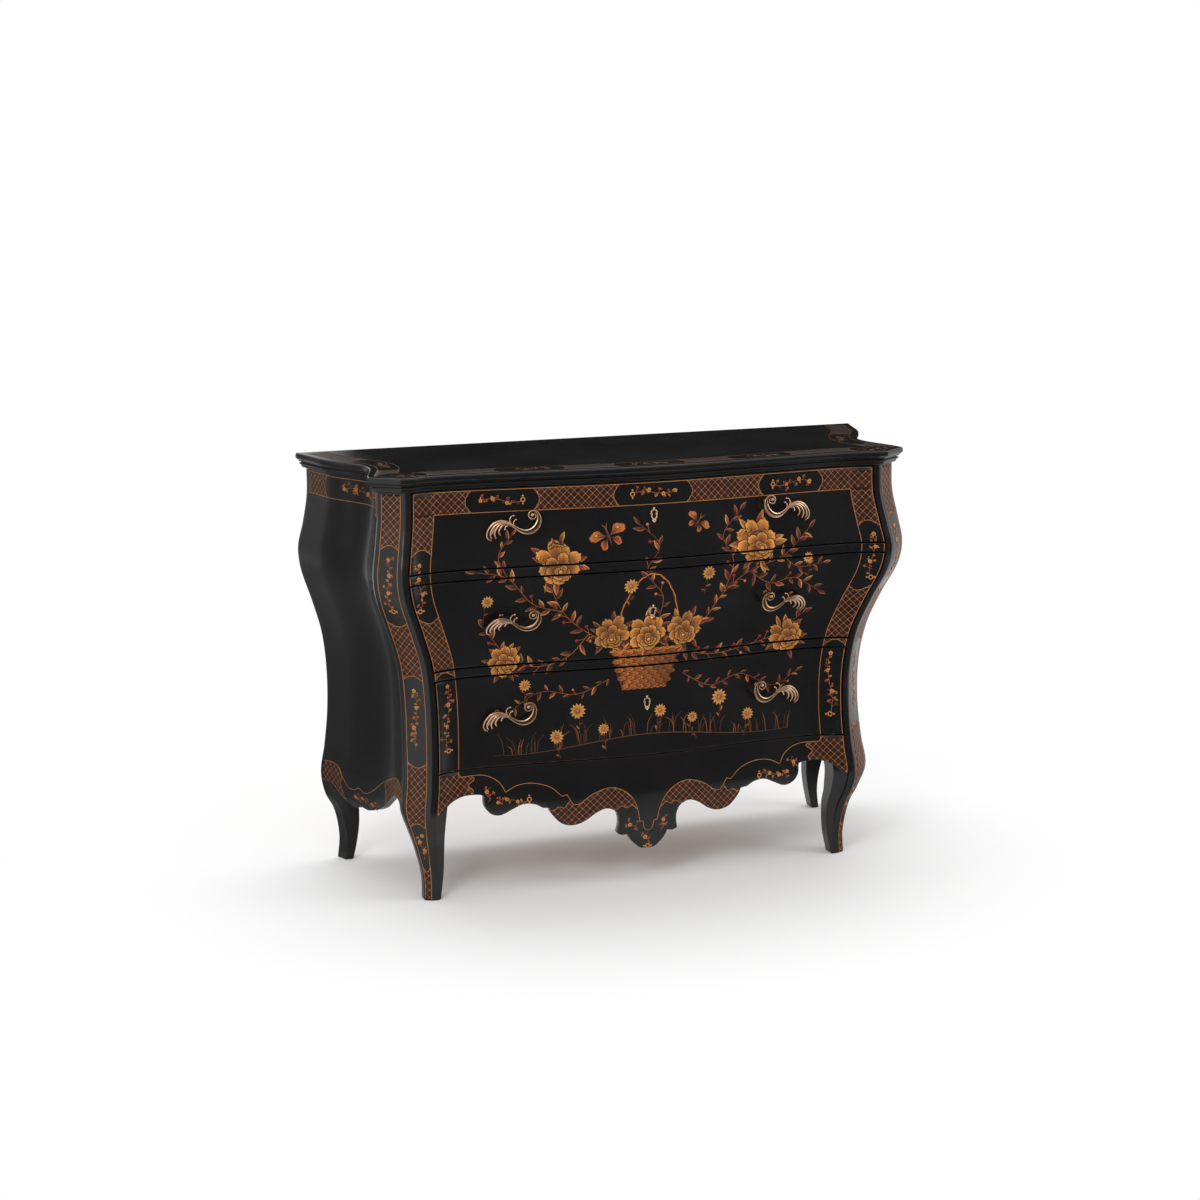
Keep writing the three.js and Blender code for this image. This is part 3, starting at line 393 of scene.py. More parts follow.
# Finishes
class Look:
    """A procedural finish on a piece's own coordinates."""

    def __init__(self, name, roughness=0.5, metal=0.0, gloss=0.5):
        self.material = bpy.data.materials.new(name)
        self.material.use_nodes = True
        self.tree = self.material.node_tree
        self.shader = self.tree.nodes["Principled BSDF"]
        self.shader.inputs["Roughness"].default_value = roughness
        self.shader.inputs["Metallic"].default_value = metal
        self.shader.inputs["Specular IOR Level"].default_value = gloss
        self.place = self.node("ShaderNodeTexCoord").outputs["Object"]

    def node(self, kind, settings=None, **inputs):
        made = self.tree.nodes.new(kind)
        for key, value in (settings or {}).items():
            setattr(made, key, value)
        for key, value in inputs.items():
            self.put(made.inputs[key.replace("_", " ")], value)
        return made

    def put(self, socket, value):
        if isinstance(value, bpy.types.NodeSocket):
            self.tree.links.new(value, socket)
        else:
            socket.default_value = value

    def stretched(self, scale):
        return self.node("ShaderNodeMapping", Vector=self.place, Scale=scale).outputs["Vector"]

    def noise(self, scale, detail, place=None, rough=0.5):
        made = self.node("ShaderNodeTexNoise", Vector=place or self.place, Scale=scale, Detail=detail,
                         Roughness=rough)
        return made.outputs["Fac"]

    def maths(self, operation, *values):
        made = self.node("ShaderNodeMath", {"operation": operation})
        for socket, value in zip(made.inputs, values):
            self.put(socket, value)
        return made.outputs[0]

    def painted(self):
        """The colour that each point of the piece was given."""
        return self.node("ShaderNodeAttribute", {"attribute_name": "paint"}).outputs

    def steps(self, value, stops):
        """Colour by value; stops are (place, colour) from low to high."""
        ramp = self.node("ShaderNodeValToRGB", Fac=value)
        bar = ramp.color_ramp
        while len(bar.elements) < len(stops):
            bar.elements.new(0.5)
        for element, (place, colour) in zip(bar.elements, stops):
            element.position = place
            element.color = (*colour, 1)
        return ramp.outputs["Color"]

    def range(self, value, low, high, source=(0.0, 1.0)):
        made = self.node("ShaderNodeMapRange", Value=value)
        for socket, limit in zip(("From Min", "From Max", "To Min", "To Max"), (*source, low, high)):
            made.inputs[socket].default_value = limit
        return made.outputs["Result"]

    def mix(self, a, b, factor, blend="MIX"):
        made = self.node("ShaderNodeMix", {"data_type": "RGBA", "blend_type": blend})
        self.put(made.inputs[0], factor)
        self.put(made.inputs[6], a)
        self.put(made.inputs[7], b)
        return made.outputs[2]

    def join(self, under, over, factor):
        """Surface that goes from one shader to another by a factor."""
        both = self.node("ShaderNodeMixShader")
        for socket, value in zip(both.inputs, (factor, under, over)):
            self.put(socket, value)
        self.put(self.tree.nodes["Material Output"].inputs["Surface"], both.outputs["Shader"])
        return self.material

    def bump(self, height, strength, distance):
        made = self.node("ShaderNodeBump", Height=height, Strength=strength, Distance=distance)
        self.put(self.shader.inputs["Normal"], made.outputs["Normal"])

    def set(self, **sockets):
        for key, value in sockets.items():
            self.put(self.shader.inputs[key.replace("_", " ")], value)
        return self.material


def black_lacquer():
    look = Look("black_lacquer", gloss=0.42)
    cloud = look.noise(5.5, 4)
    speck = look.noise(420, 2)
    peel = look.noise(70, 3)
    colour = look.steps(cloud, [(0.3, (0.0065, 0.0060, 0.0062)), (0.7, (0.0100, 0.0090, 0.0093))])
    warm = look.mix(colour, (0.024, 0.016, 0.012, 1), look.range(speck, 0.0, 0.5, (0.62, 0.8)))
    look.bump(peel, 0.05, 0.0006)
    return look.set(Base_Color=warm, Roughness=look.range(cloud, 0.16, 0.22, (0.3, 0.7)))


def wood(name, pale, dark, roughness):
    look = Look(name, gloss=0.35)
    along = look.stretched((1, 26, 26))
    grain = look.noise(7, 8, along, 0.68)
    pores = look.noise(60, 3, look.stretched((1.5, 60, 60)))
    rings = look.node("ShaderNodeTexWave", {"wave_type": "BANDS", "bands_direction": "Z"},
                      Vector=along, Scale=1.3, Distortion=6.0, Detail=3.0)
    colour = look.steps(grain, [(0.3, dark), (0.55, pale), (0.75, tuple(c * 1.15 for c in pale))])
    veined = look.mix(colour, (*dark, 1), look.range(rings.outputs["Fac"], 0.0, 0.35))
    pored = look.mix(veined, (*(c * 0.5 for c in dark), 1), look.range(pores, 0.0, 0.5, (0.6, 0.75)))
    look.bump(pores, 0.25, 0.0004)
    return look.set(Base_Color=pored, Roughness=look.range(grain, roughness - 0.08, roughness + 0.08))


def antique_brass():
    """Cast brass, rubbed bright on its ridges and brown in its grooves."""
    look = Look("antique_brass", metal=0.95)
    cloud = look.noise(90, 4)
    tarnish = look.noise(420, 4)
    # Fac of the paint attribute: wear on ridges and grooves, and painted shade on the pulls' posts
    ridge = look.steps(look.painted()["Fac"], [
        (0.2, (0.17, 0.07, 0.034)), (0.6, (0.5, 0.26, 0.13)), (0.9, (1.0, 0.76, 0.54))])
    aged = look.mix(ridge, (0.24, 0.115, 0.045, 1), look.range(cloud, 0.0, 0.35, (0.5, 0.8)))
    spotted = look.mix(aged, (0.16, 0.09, 0.05, 1), look.range(tarnish, 0.0, 0.4, (0.6, 0.8)))
    look.bump(tarnish, 0.15, 0.0003)
    return look.set(Base_Color=spotted, Roughness=look.range(cloud, 0.2, 0.3))


def bright_steel():
    look = Look("screw_steel", metal=1.0)
    turned = look.noise(900, 2)
    colour = look.steps(turned, [(0.3, (0.42, 0.42, 0.43)), (0.7, (0.6, 0.6, 0.6))])
    look.bump(turned, 0.1, 0.0002)
    return look.set(Base_Color=colour, Roughness=look.range(turned, 0.3, 0.45))


LACQUER = black_lacquer()
BRASS = antique_brass()
STEEL = bright_steel()
DRAWER_WOOD = wood("drawer_wood", (0.46, 0.27, 0.12), (0.27, 0.145, 0.06), 0.6)
CASE_WOOD = wood("case_wood", (0.28, 0.16, 0.08), (0.15, 0.082, 0.04), 0.65)


# Case pieces: columns and points of their meshes, and the grain of the meshes in millimetres
BOARD_COLUMNS = 110
BOARD_GRAIN = 7
SLAB_GRAIN = 9
APRON_SIDE_POINTS = 12
APRON_CROWN_POINTS = 100
SIDE_LEVELS = 90
SIDE_CROWN_POINTS = 30
POST_LEVELS = 130
TOP_FRONT_POINTS = 64
TOP_SIDE_POINTS = 41


def front_board(bottom, top, thickness, end_gap):
    """Board that follows the swelling front between two heights."""
    def surface(inward):
        def at(u, v):
            z = bottom + (top - bottom) * v
            x = u * (Plan(z).opening - end_gap)
            return x, front_depth(x, z) + inward, z
        return at
    rows = max(3, round((top - bottom) / BOARD_GRAIN))
    across, up = np.linspace(-1, 1, BOARD_COLUMNS + 1), np.linspace(0, 1, rows + 1)
    return board(across, up, surface(0), surface(thickness))


def drawer_fronts():
    for name, (bottom, top) in zip(DRAWER_NAMES, SPANS):
        points, faces = front_board(bottom, top, DRAWER_FRONT_THICKNESS, PARTING_GAP / 2)
        piece = new_piece(f"{name}_lacquered_front", points, faces, [LACQUER])
        ease_edges(piece, DRAWER_EDGE_EASE)
        settle(piece, name, "black_lacquer", f"{name}_front")


def front_rails():
    for name, (bottom, top) in zip(("upper", "lower"), RAIL_SPANS):
        points, faces = front_board(bottom, top, RAIL_THICKNESS, -SIDE_LAP)
        piece = new_piece(f"{name}_lacquered_rail", points, faces, [LACQUER])
        ease_edges(piece, EDGE_EASE)
        settle(piece, "case", "black_lacquer", f"{name}_front_rail")


# Lower edge of the apron from the middle outward: shares of its half width and of its top's height
APRON_EDGE_SHARES = [
    (0, 0.265), (0.03, 0.27), (0.05, 0.29), (0.077, 0.334), (0.09, 0.37), (0.097, 0.394), (0.125, 0.389),
    (0.147, 0.404), (0.14, 0.47), (0.142, 0.53), (0.158, 0.584), (0.2, 0.616), (0.248, 0.592), (0.307, 0.527),
    (0.361, 0.502), (0.415, 0.525), (0.458, 0.602), (0.473, 0.656), (0.503, 0.66), (0.544, 0.695),
    (0.596, 0.702), (0.646, 0.667), (0.7, 0.629), (0.745, 0.647), (0.772, 0.706), (0.776, 0.792),
    (0.808, 0.806), (0.873, 0.806), (0.924, 0.781), (0.957, 0.749), (1, 0.69),
]
APRON_CORNERS = (5, 7, 17, 18, 25)
APRON_HALF = float(Plan(APRON_TOP).opening) + SIDE_LAP


def both_ways(spots, corners):
    """A right-hand edge and its mirror as one line from left to right, with its corners' numbers."""
    last = len(spots) - 1
    left = [(-x, z) for x, z in reversed(spots[1:])]
    return left + list(spots), [last - c for c in reversed(corners)] + [last + c for c in corners]


def apron_edge():
    right = [(x * APRON_HALF, z * APRON_TOP) for x, z in APRON_EDGE_SHARES]
    spots, corners = both_ways(right, APRON_CORNERS)
    return cornered_line(spots, corners, 5)


def front_apron():
    edge = apron_edge()
    top = APRON_TOP - PARTING_GAP / 2
    rising = np.linspace(edge[-1][1], top, APRON_SIDE_POINTS)[1:]
    right = np.stack([Plan(np.maximum(rising, LEG_TOP)).opening + SIDE_LAP, rising], 1)
    across = np.linspace(right[-1][0], -right[-1][0], APRON_CROWN_POINTS)[1:-1]
    crown = np.stack([across, np.full(len(across), top)], 1)
    left = right[::-1] * np.array([-1, 1])
    outline = np.vstack([edge, right, crown, left])
    lap = Plan(APRON_TOP).arris - KNEE_WIDTH - APRON_LAP_MARGIN

    def outer(x, z):
        return x, apron_depth(x, z), z

    def inner(x, z):
        thickness = np.where(np.abs(x) > lap, APRON_LAP_THICKNESS, APRON_THICKNESS)
        return x, apron_depth(x, z) + thickness, z

    points, faces = slab_from_outline(outline, SLAB_GRAIN, outer, inner)
    piece = new_piece("lacquered_apron", points, faces, [LACQUER])
    ease_edges(piece, EDGE_EASE)
    settle(piece, "case", "black_lacquer", "front_apron")


# Lower edge of a side: shares of the depth from the canted corner to the back, and of the apron's top
SIDE_EDGE_SHARES = [
    (0, 0.725), (0.085, 0.765), (0.2, 0.752), (0.33, 0.665), (0.465, 0.563), (0.582, 0.512), (0.624, 0.514),
    (0.66, 0.534), (0.696, 0.502), (0.735, 0.495), (0.816, 0.552), (0.877, 0.627), (0.92, 0.645), (1, 0.645),
]
SIDE_EDGE_CORNERS = (7,)
SIDE_CORNER = float(Plan(APRON_TOP).cant_back)
# Height of the side's lower front corner, and the height at which sides and posts end under the top
SIDE_FOOT = 200
PIECE_TOP = CASE_HEIGHT - TOP_GAP


def side_edge():
    spots = [(SIDE_CORNER + (BACK_REACH - SIDE_CORNER) * y, APRON_TOP * z) for y, z in SIDE_EDGE_SHARES]
    return cornered_line(spots, SIDE_EDGE_CORNERS, 6)


def side_start(z):
    """Depth at which a side panel meets the front post."""
    return Plan(z).cant_back + FRONT_POST_DEPTH + SEAM


def side_panels():
    edge = side_edge()
    rear = BACK_REACH - BACK_POST_DEPTH - SEAM
    height = np.interp(rear, *edge.T)
    start = side_start(SIDE_FOOT)
    kept = edge[(edge[:, 0] > start + 2) & (edge[:, 0] < rear - 2)]
    first = (start, np.interp(start, *edge.T))
    levels = np.linspace(height, PIECE_TOP, SIDE_LEVELS)
    back = np.stack([np.full(len(levels), rear), levels], 1)
    across = np.linspace(rear, side_start(CASE_HEIGHT), SIDE_CROWN_POINTS)[1:-1]
    crown = np.stack([across, np.full(len(across), PIECE_TOP)], 1)
    down = np.linspace(PIECE_TOP, first[1], SIDE_LEVELS)[:-1]
    front = np.stack([side_start(down), down], 1)
    outline = np.vstack([[first], kept, back, crown, front])

    def outer(y, z):
        return side_reach(y, z), y, z

    def inner(y, z):
        return side_reach(y, z) - SIDE_THICKNESS, y, z

    both_hands("side", "side_panel", *slab_from_outline(outline, SLAB_GRAIN, outer, inner), SIDE_ANGLE)


def eased(before, corner, after, radius):
    """Points that round a corner of a plan."""
    before, corner, after = (np.array(p, float) for p in (before, corner, after))
    a = corner + (before - corner) * min(radius / np.linalg.norm(before - corner), 0.45)
    b = corner + (after - corner) * min(radius / np.linalg.norm(after - corner), 0.45)
    return [(1 - t) ** 2 * a + 2 * t * (1 - t) * corner + t ** 2 * b for t in (0, 0.3, 0.5, 0.7, 1)]


# How far a foot's edge is drawn in, and from what height down, in millimetres
FOOT_EASE = 1.6
FOOT_EASE_HEIGHT = 3


def post_ring(points, z):
    """A ring of a post at height z, drawn in a little at the very foot."""
    ring = np.array(points, float)
    shrink = FOOT_EASE * max(1 - z / FOOT_EASE_HEIGHT, 0) ** 2
    middle = ring.mean(0)
    away = ring - middle
    ring = middle + away * (1 - shrink / np.maximum(np.linalg.norm(away, axis=1), 1))[:, None]
    return np.column_stack([ring, np.full(len(ring), z)])


def post_levels():
    return [0, 0.8, 1.8, FOOT_EASE_HEIGHT, *np.linspace(2 * FOOT_EASE_HEIGHT, PIECE_TOP, POST_LEVELS)]


# Front legs: how far the knee's face lies behind the front, and how deep the leg is, in millimetres
FOOT_SETBACK = 0.3
KNEE_SETBACK = 7
SETBACK_HEIGHT = 60
STRIP_SETBACK_SLOPE = 4
FRONT_FOOT_DEPTH = 30
KNEE_DEPTH = 76


def front_posts():
    rings = []
    for z in sorted([*post_levels(), KNEE_TOP - TOP_GAP, KNEE_TOP]):
        plan = Plan(z)
        strip = plan.opening + PARTING_GAP / 2
        kneed = z < KNEE_TOP
        slim = max(1 - z / KNEE_TOP, 0) ** 1.5
        inner = plan.arris - KNEE_WIDTH + (KNEE_WIDTH - FOOT_WIDTH) * slim if kneed else strip
        risen = min(max(z / SETBACK_HEIGHT - 1, 0), 1)
        setback = FOOT_SETBACK + (KNEE_SETBACK - FOOT_SETBACK) * risen
        leg = FRONT_FOOT_DEPTH + (KNEE_DEPTH - FRONT_FOOT_DEPTH) * min(z / LEG_TOP, 1) ** 2
        rear = min(plan.front + leg, plan.cant_back + FRONT_POST_DEPTH)
        face = []
        for share in (0, 1 / 3, 2 / 3, 1):
            x = inner + (strip - inner) * share
            behind = setback if kneed else KNEE_SETBACK + STRIP_SETBACK_SLOPE * (2 - share)
            face.append((x, front_depth(x, z) + behind))
        arris, outer = (plan.arris, plan.front), (plan.cant_out, plan.cant_back)
        side = [(side_reach(y, z), y) for y in np.linspace(plan.cant_back, rear, 5)[1:]]
        rings.append(post_ring([
            *face, (strip, plan.front), *eased((strip, plan.front), arris, outer, POST_EDGE_EASE),
            *eased(arris, outer, side[0], POST_EDGE_EASE), *side[1:], (inner, rear)], z))
    both_hands("front_post", "front_post", *loft(rings), LOFT_ANGLE)


# Height up to which the back legs taper
BACK_TAPER_HEIGHT = 90


def back_posts():
    front = BACK_REACH - BACK_POST_DEPTH
    rings = []
    for z in post_levels():
        taper = BACK_FOOT_TAPER * max(1 - z / BACK_TAPER_HEIGHT, 0) ** 1.5
        inner = CASE_HALF_BACK - BACK_POST_WIDTH + taper
        side = [(side_reach(y, z), y) for y in np.linspace(front, BACK_REACH, 4)]
        corner = eased(side[-2], side[-1], (inner, BACK_REACH), BACK_POST_EDGE_EASE)
        rings.append(post_ring([(inner, front), *side[:-1], *corner, (inner, BACK_REACH)], z))
    both_hands("back_post", "back_post", *loft(rings), LOFT_ANGLE)


# Mould of the top from its underside: inset from the nose and height, as shares
TOP_MOULD_SHARES = [
    (1, 0), (0.86, 0.05), (0.76, 0.15), (0.76, 0.21), (0.6, 0.22), (0.53, 0.26), (0.53, 0.32),
    (0.6, 0.36), (0.78, 0.365), (0.78, 0.45), (0.46, 0.44), (0.42, 0.5), (0.24, 0.56), (0.06, 0.66),
    (0, 0.76), (0.02, 0.86), (0.08, 0.95), (0.17, 0.995), (0.24, 1), (0.66, 1),
]
TOP_MOULD_CORNERS = (2, 3, 4, 7, 8, 9, 10, 11, 18)
CORNER_FLARE_SHARE = 0.16


def unit(v):
    return np.array(v, float) / np.linalg.norm(v)


def top_outline():
    """Right half of the case's outline under the top, with the way that each point grows outward."""
    plan = Plan(CASE_HEIGHT)
    cant = unit((plan.cant_back - plan.front, plan.arris - plan.cant_out))
    ahead, aside = np.array([0, -1.0]), np.array([1.0, 0])
    rows = []
    for x in np.linspace(0, float(plan.arris), TOP_FRONT_POINTS):
        rows.append((x, float(front_depth(x, CASE_HEIGHT)), ahead, 0))
    rows[-1] = (*rows[-1][:2], (ahead + cant) / (1 + ahead @ cant), TOP_CORNER_FLARE)
    middle_x, middle_y = (plan.arris + plan.cant_out) / 2, (plan.front + plan.cant_back) / 2
    rows.append((float(middle_x), float(middle_y), cant, TOP_CORNER_FLARE))
    turned = (cant + aside) / (1 + cant @ aside)
    rows.append((float(plan.cant_out), float(plan.cant_back), turned, TOP_CORNER_FLARE))
    for share in np.linspace(0, 1, TOP_SIDE_POINTS)[1:]:
        y = float(plan.cant_back + (BACK_REACH - plan.cant_back) * share)
        corner_flare = TOP_CORNER_FLARE * max(1 - share / CORNER_FLARE_SHARE, 0) ** 2
        rows.append((float(side_reach(y, CASE_HEIGHT)), y, aside, corner_flare + TOP_BACK_FLARE * share ** 3))
    rows.append((float(plan.back), BACK_REACH + TOP_BACK_OVERHANG, aside, TOP_BACK_FLARE))
    return rows


def top_ring(inset):
    """Plan of the top where its mould is drawn in by a share of the overhang."""
    out = NOSE_OVERHANG * (1 - inset)
    half = np.array([(x + flare + grow[0] * out, y + grow[1] * out)
                     for x, y, grow, flare in top_outline()])
    return np.vstack([half, half[:0:-1] * np.array([-1, 1])])


def moulded_top():
    profile = cornered_line(TOP_MOULD_SHARES, TOP_MOULD_CORNERS, 4)
    rings = []
    for inset, up in profile:
        ring = top_ring(max(inset, 0))
        height = CASE_HEIGHT + (TOP_THICKNESS - TOP_COAT) * up
        rings.append(np.column_stack([ring, np.full(len(ring), height)]))
    piece = new_piece("lacquered_top", *loft(rings), [LACQUER], smooth=LOFT_ANGLE)
    settle(piece, "case", "black_lacquer", "moulded_top")


drawer_fronts()
front_rails()
front_apron()
side_panels()
front_posts()
back_posts()
moulded_top()


# Wood and steel that the drawers show when they are open
def dress_carcass():
    for name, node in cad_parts.items():
        if "box" in name:
            look, slot = DRAWER_WOOD, "drawer_wood"
        elif "screw" in name:
            look, slot = STEEL, "steel"
        elif "pull" in name or "escutcheon" in name:
            look, slot = BRASS, "antique_brass"
        else:
            look, slot = CASE_WOOD, "case_wood"
        if node.hide_render:
            continue
        node.data.materials.clear()
        node.data.materials.append(look)


# Brasses
PULL_REACH = 297
PULL_SHARES = (0.516, 0.533, 0.55)
KEYHOLE_SHARES = (0.56, 0.52, 0.58)
# Scroll of a right-hand pull from the volute's heart to its leaf: along, up, out, half width, in millimetres
SCROLL_ROUTE = [
    (-40.4, 23.2, 25, 0.9), (-43.6, 20.2, 24.6, 1.1), (-43.9, 15, 24.2, 1.3), (-38.6, 11.6, 24, 1.5),
    (-32.4, 13.4, 23.8, 1.6), (-29.8, 19.6, 23.6, 1.7), (-32.4, 25.6, 23.4, 1.9), (-39.6, 28.2, 23.2, 2.1),
    (-47.6, 24, 22.8, 2.8), (-51, 14.6, 22.4, 4.2), (-49.6, 3.6, 21.8, 5.8), (-43.2, -6.6, 21, 6.6),
    (-33, -12.6, 20, 6.2), (-22, -13.4, 19.2, 5.0), (-11.4, -9.4, 18.4, 3.9), (-3, -3.8, 17.6, 3.2),
    (4, 1, 16.8, 2.9), (11, 5, 16.4, 2.6),
]
# Ribs of the leaf and its small curls: each a route with the half width last
LEAF_RIBS = [
    [(4, 1, 16.8, 2.4), (16, 8.4, 16.6, 2.7), (29, 10.2, 16, 2.9), (42, 5, 14.6, 2.8),
     (51.5, -6, 12.8, 2.5), (55, -17, 11.4, 2.2), (52.5, -25, 10.8, 1.9), (46.5, -28.4, 10.4, 1.1)],
    [(4, 0, 16.6, 2.2), (17, 6, 17.6, 2.8), (29, 6.2, 17.6, 3), (39.5, 0.4, 16.4, 2.9),
     (46.4, -9.5, 14.6, 2.6), (48, -19, 12.6, 2.2), (45, -24.6, 11.2, 1.2)],
    [(5, 0, 16.4, 2.2), (17, 4.6, 17.6, 2.7), (28, 3, 17.8, 2.9), (36, -4.6, 16.6, 2.8),
     (39.8, -14.5, 14.4, 2.4), (37, -24.2, 12, 1.2)],
    [(5, 0, 16.2, 2), (15, 3.2, 17, 2.5), (24, 0.6, 17.2, 2.7), (29.6, -6.8, 16, 2.5),
     (30.6, -13, 14.2, 2.1), (27.6, -18.6, 12.4, 1.1)],
    [(4, 0, 16, 1.8), (11, 1.2, 16.6, 2.1), (16.5, -1.6, 16.6, 2), (18.4, -5.4, 15.6, 1.6)],
    [(3, 0, 16.8, 2), (7.4, 6.4, 17.2, 1.8), (8, 13, 17.6, 1.6), (5, 18.4, 17.8, 1.4),
     (0.8, 20.2, 17.8, 1.3)],
    [(0, -1, 16.8, 1.9), (0.8, 4.4, 17.2, 1.7), (-1, 9.4, 17.6, 1.5), (-4, 11.8, 17.8, 1.3)],
]
LEAF_WEB = [
    (3, -1, 15.4, 2.2), (12, 3.6, 15.4, 4.8), (24, 4.6, 15, 7), (34, 0, 13.8, 7.2), (41, -8, 12, 4.6),
    (45, -16, 10.6, 1.6),
]
# Beads: along, up, out and radius. Posts: along, up and height
PULL_BEADS = [(-37, 20, 24.6, 3.5), (0, 20.2, 18, 2.1), (-4.6, 12, 18, 2), (18.6, -6.6, 15.4, 2.1)]
PULL_POSTS = [(-39.3, 17, 22), (23.9, 8, 15)]
# A post's rows of radius and height from its foot, and of radius and depth below its head
POST_FOOT = [(5.6, -1), (5.6, 0.9), (4.9, 1.7), (3.4, 2.6), (3, 4.5)]
POST_HEAD = [(3.1, 4), (3.8, 1.5), (3.6, 0)]
# Sides of posts and beads, a bead's rows, and how near they come to its poles
POST_SIDES = 18
BEAD_SIDES = 16
BEAD_ROWS = 10
BEAD_POLE = 0.02
# Cast bars: hollow and thickness as shares of the width, steps between points of the route, and sides
SCROLL_BAR = (0.5, 0.7, 6, 24)
RIB_BAR = (0, 0.85, 5, 18)
WEB_BAR = (0, 0.34, 5, 24)
RIM_BAR = (0, 0.8, 6, 12)
CURL_BAR = (0, 0.8, 5, 10)
# How worn and bright turned parts are, and how much of that the posts keep: the posts are darkened as painted
# shade for the pulls' shadow on them
ROUND_WEAR = 0.7
POST_PAINTED_SHADE_SHARE = 0.1
SEAT_STEP = 0.05
# Ends of a cast bar: how thin they get and how far they reach on, as shares of the last width
BAR_END_SHARE = 0.35
BAR_REACH_SHARE = 0.5
# Half width from which a bar is hollowed, and over how much more it reaches its full hollow
HOLLOW_FROM = 2
HOLLOW_SPAN = 2.5


def seat(x, z):
    """Point of the drawer front, and the directions along it, up it and out of it."""
    step = SEAT_STEP
    along = unit((2 * step, float(front_depth(x + step, z) - front_depth(x - step, z)), 0))
    rise = unit((0, float(front_depth(x, z + step) - front_depth(x, z - step)), 2 * step))
    out = unit(np.cross(along, rise))
    return np.array([x, float(front_depth(x, z)), z]), along, np.cross(out, along), out


def joined(parts):
    """Several closed bodies as one mesh: points, faces and the wear of each point, which on the pulls' posts
    is painted shade.
    """
    points, faces, wear_and_painted_shade, count = [], [], [], 0
    for spots, rings, worn in parts:
        points.append(spots)
        wear_and_painted_shade.append(worn)
        faces += [tuple(i + count for i in face) for face in rings]
        count += len(spots)
    return np.vstack(points), faces, np.concatenate(wear_and_painted_shade)


def swept(route, hollow, flat, steps, sides):
    """Cast bar along a route, its broad parts hollowed between two rims. flat is its thickness as a share of
    its width."""
    line = smooth_line(route, steps)
    path, half = line[:, :3], line[:, 3]
    ahead = np.gradient(path, axis=0)
    ahead /= np.linalg.norm(ahead, axis=1)[:, None]
    across = np.cross(np.array([0, 0, 1.0]), ahead)
    across /= np.linalg.norm(across, axis=1)[:, None]
    out = np.cross(ahead, across)
    turn = np.linspace(0, 2 * math.pi, sides, endpoint=False)
    aside = np.abs(np.cos(turn))
    crest = 0.3 + 0.7 * np.exp(-(aside / 0.5) ** 2)
    rims = np.exp(-((aside - 0.66) / 0.28) ** 2)
    rings, worn = [], []
    for centre, wide, a, o in zip(path, half, across, out):
        broad = min(max((wide - HOLLOW_FROM) / HOLLOW_SPAN, 0), 1) * (hollow > 0)
        rise = flat * (1 - hollow * broad * np.maximum(np.sin(turn), 0) ** 4) * np.sin(turn)
        rings.append(centre + wide * (np.cos(turn)[:, None] * a + rise[:, None] * o))
        worn.append(crest * (1 - broad) + rims * broad)
    ends = [path[k] + (rings[k] - path[k]) * BAR_END_SHARE + way * ahead[k] * half[k] * BAR_REACH_SHARE
            for k, way in ((0, -1), (-1, 1))]
    points, faces = loft([ends[0], *rings, ends[1]])
    return points, faces, np.concatenate([worn[0], *worn, worn[-1]])


def round_body(profile, sides):
    """Turned body about the out direction from rows of radius and height."""
    turn = np.linspace(0, 2 * math.pi, sides, endpoint=False)
    rings = [np.stack([r * np.cos(turn), r * np.sin(turn), np.full(sides, h)], 1) for r, h in profile]
    points, faces = loft(rings)
    return points, faces, np.full(len(points), ROUND_WEAR)


def bead(a, u, out, radius):
    turns = np.linspace(BEAD_POLE, math.pi - BEAD_POLE, BEAD_ROWS)
    rows = [(max(radius * math.sin(t), BEAD_POLE), radius * -math.cos(t)) for t in turns]
    points, faces, worn = round_body(rows, BEAD_SIDES)
    return points + np.array([a, u, out]), faces, worn


def post(a, u, height):
    rows = POST_FOOT + [(radius, height - depth) for radius, depth in POST_HEAD]
    points, faces, worn = round_body(rows, POST_SIDES)
    # Painted shade: the post's brass is darkened for the shadow of the pull above it
    return points + np.array([a, u, 0]), faces, worn * POST_PAINTED_SHADE_SHARE


def brass_piece(name, parts, x, z, hand, body, node):
    """Brass parts as one piece, seated on a drawer front at x and z."""
    spots, faces, wear_and_painted_shade = joined(parts)
    origin, along, up, out = seat(x, z)
    points = origin + spots[:, :1] * hand * along + spots[:, 1:2] * up + spots[:, 2:] * out
    tone = np.repeat(wear_and_painted_shade[:, None], 3, axis=1)
    piece = new_piece(name, points, faces, [BRASS], merge=False, colours=tone)
    face_outward(piece.data)
    shade_by_angle(piece.data, FINE_ANGLE)
    settle(piece, body, "antique_brass", node)


def scroll_pulls():
    parts = [swept(SCROLL_ROUTE, *SCROLL_BAR)]
    parts += [swept(route, *RIB_BAR) for route in LEAF_RIBS]
    parts.append(swept(LEAF_WEB, *WEB_BAR))
    parts += [bead(*spot) for spot in PULL_BEADS]
    parts += [post(*spot) for spot in PULL_POSTS]
    for body, (bottom, top), share in zip(DRAWER_NAMES, SPANS, PULL_SHARES):
        z = bottom + (top - bottom) * share
        for side, hand in (("right", 1), ("left", -1)):
            name = f"{body}_{side}_scroll_pull"
            brass_piece(name, parts, hand * PULL_REACH, z, hand, body, f"{body}_{side}_pull")


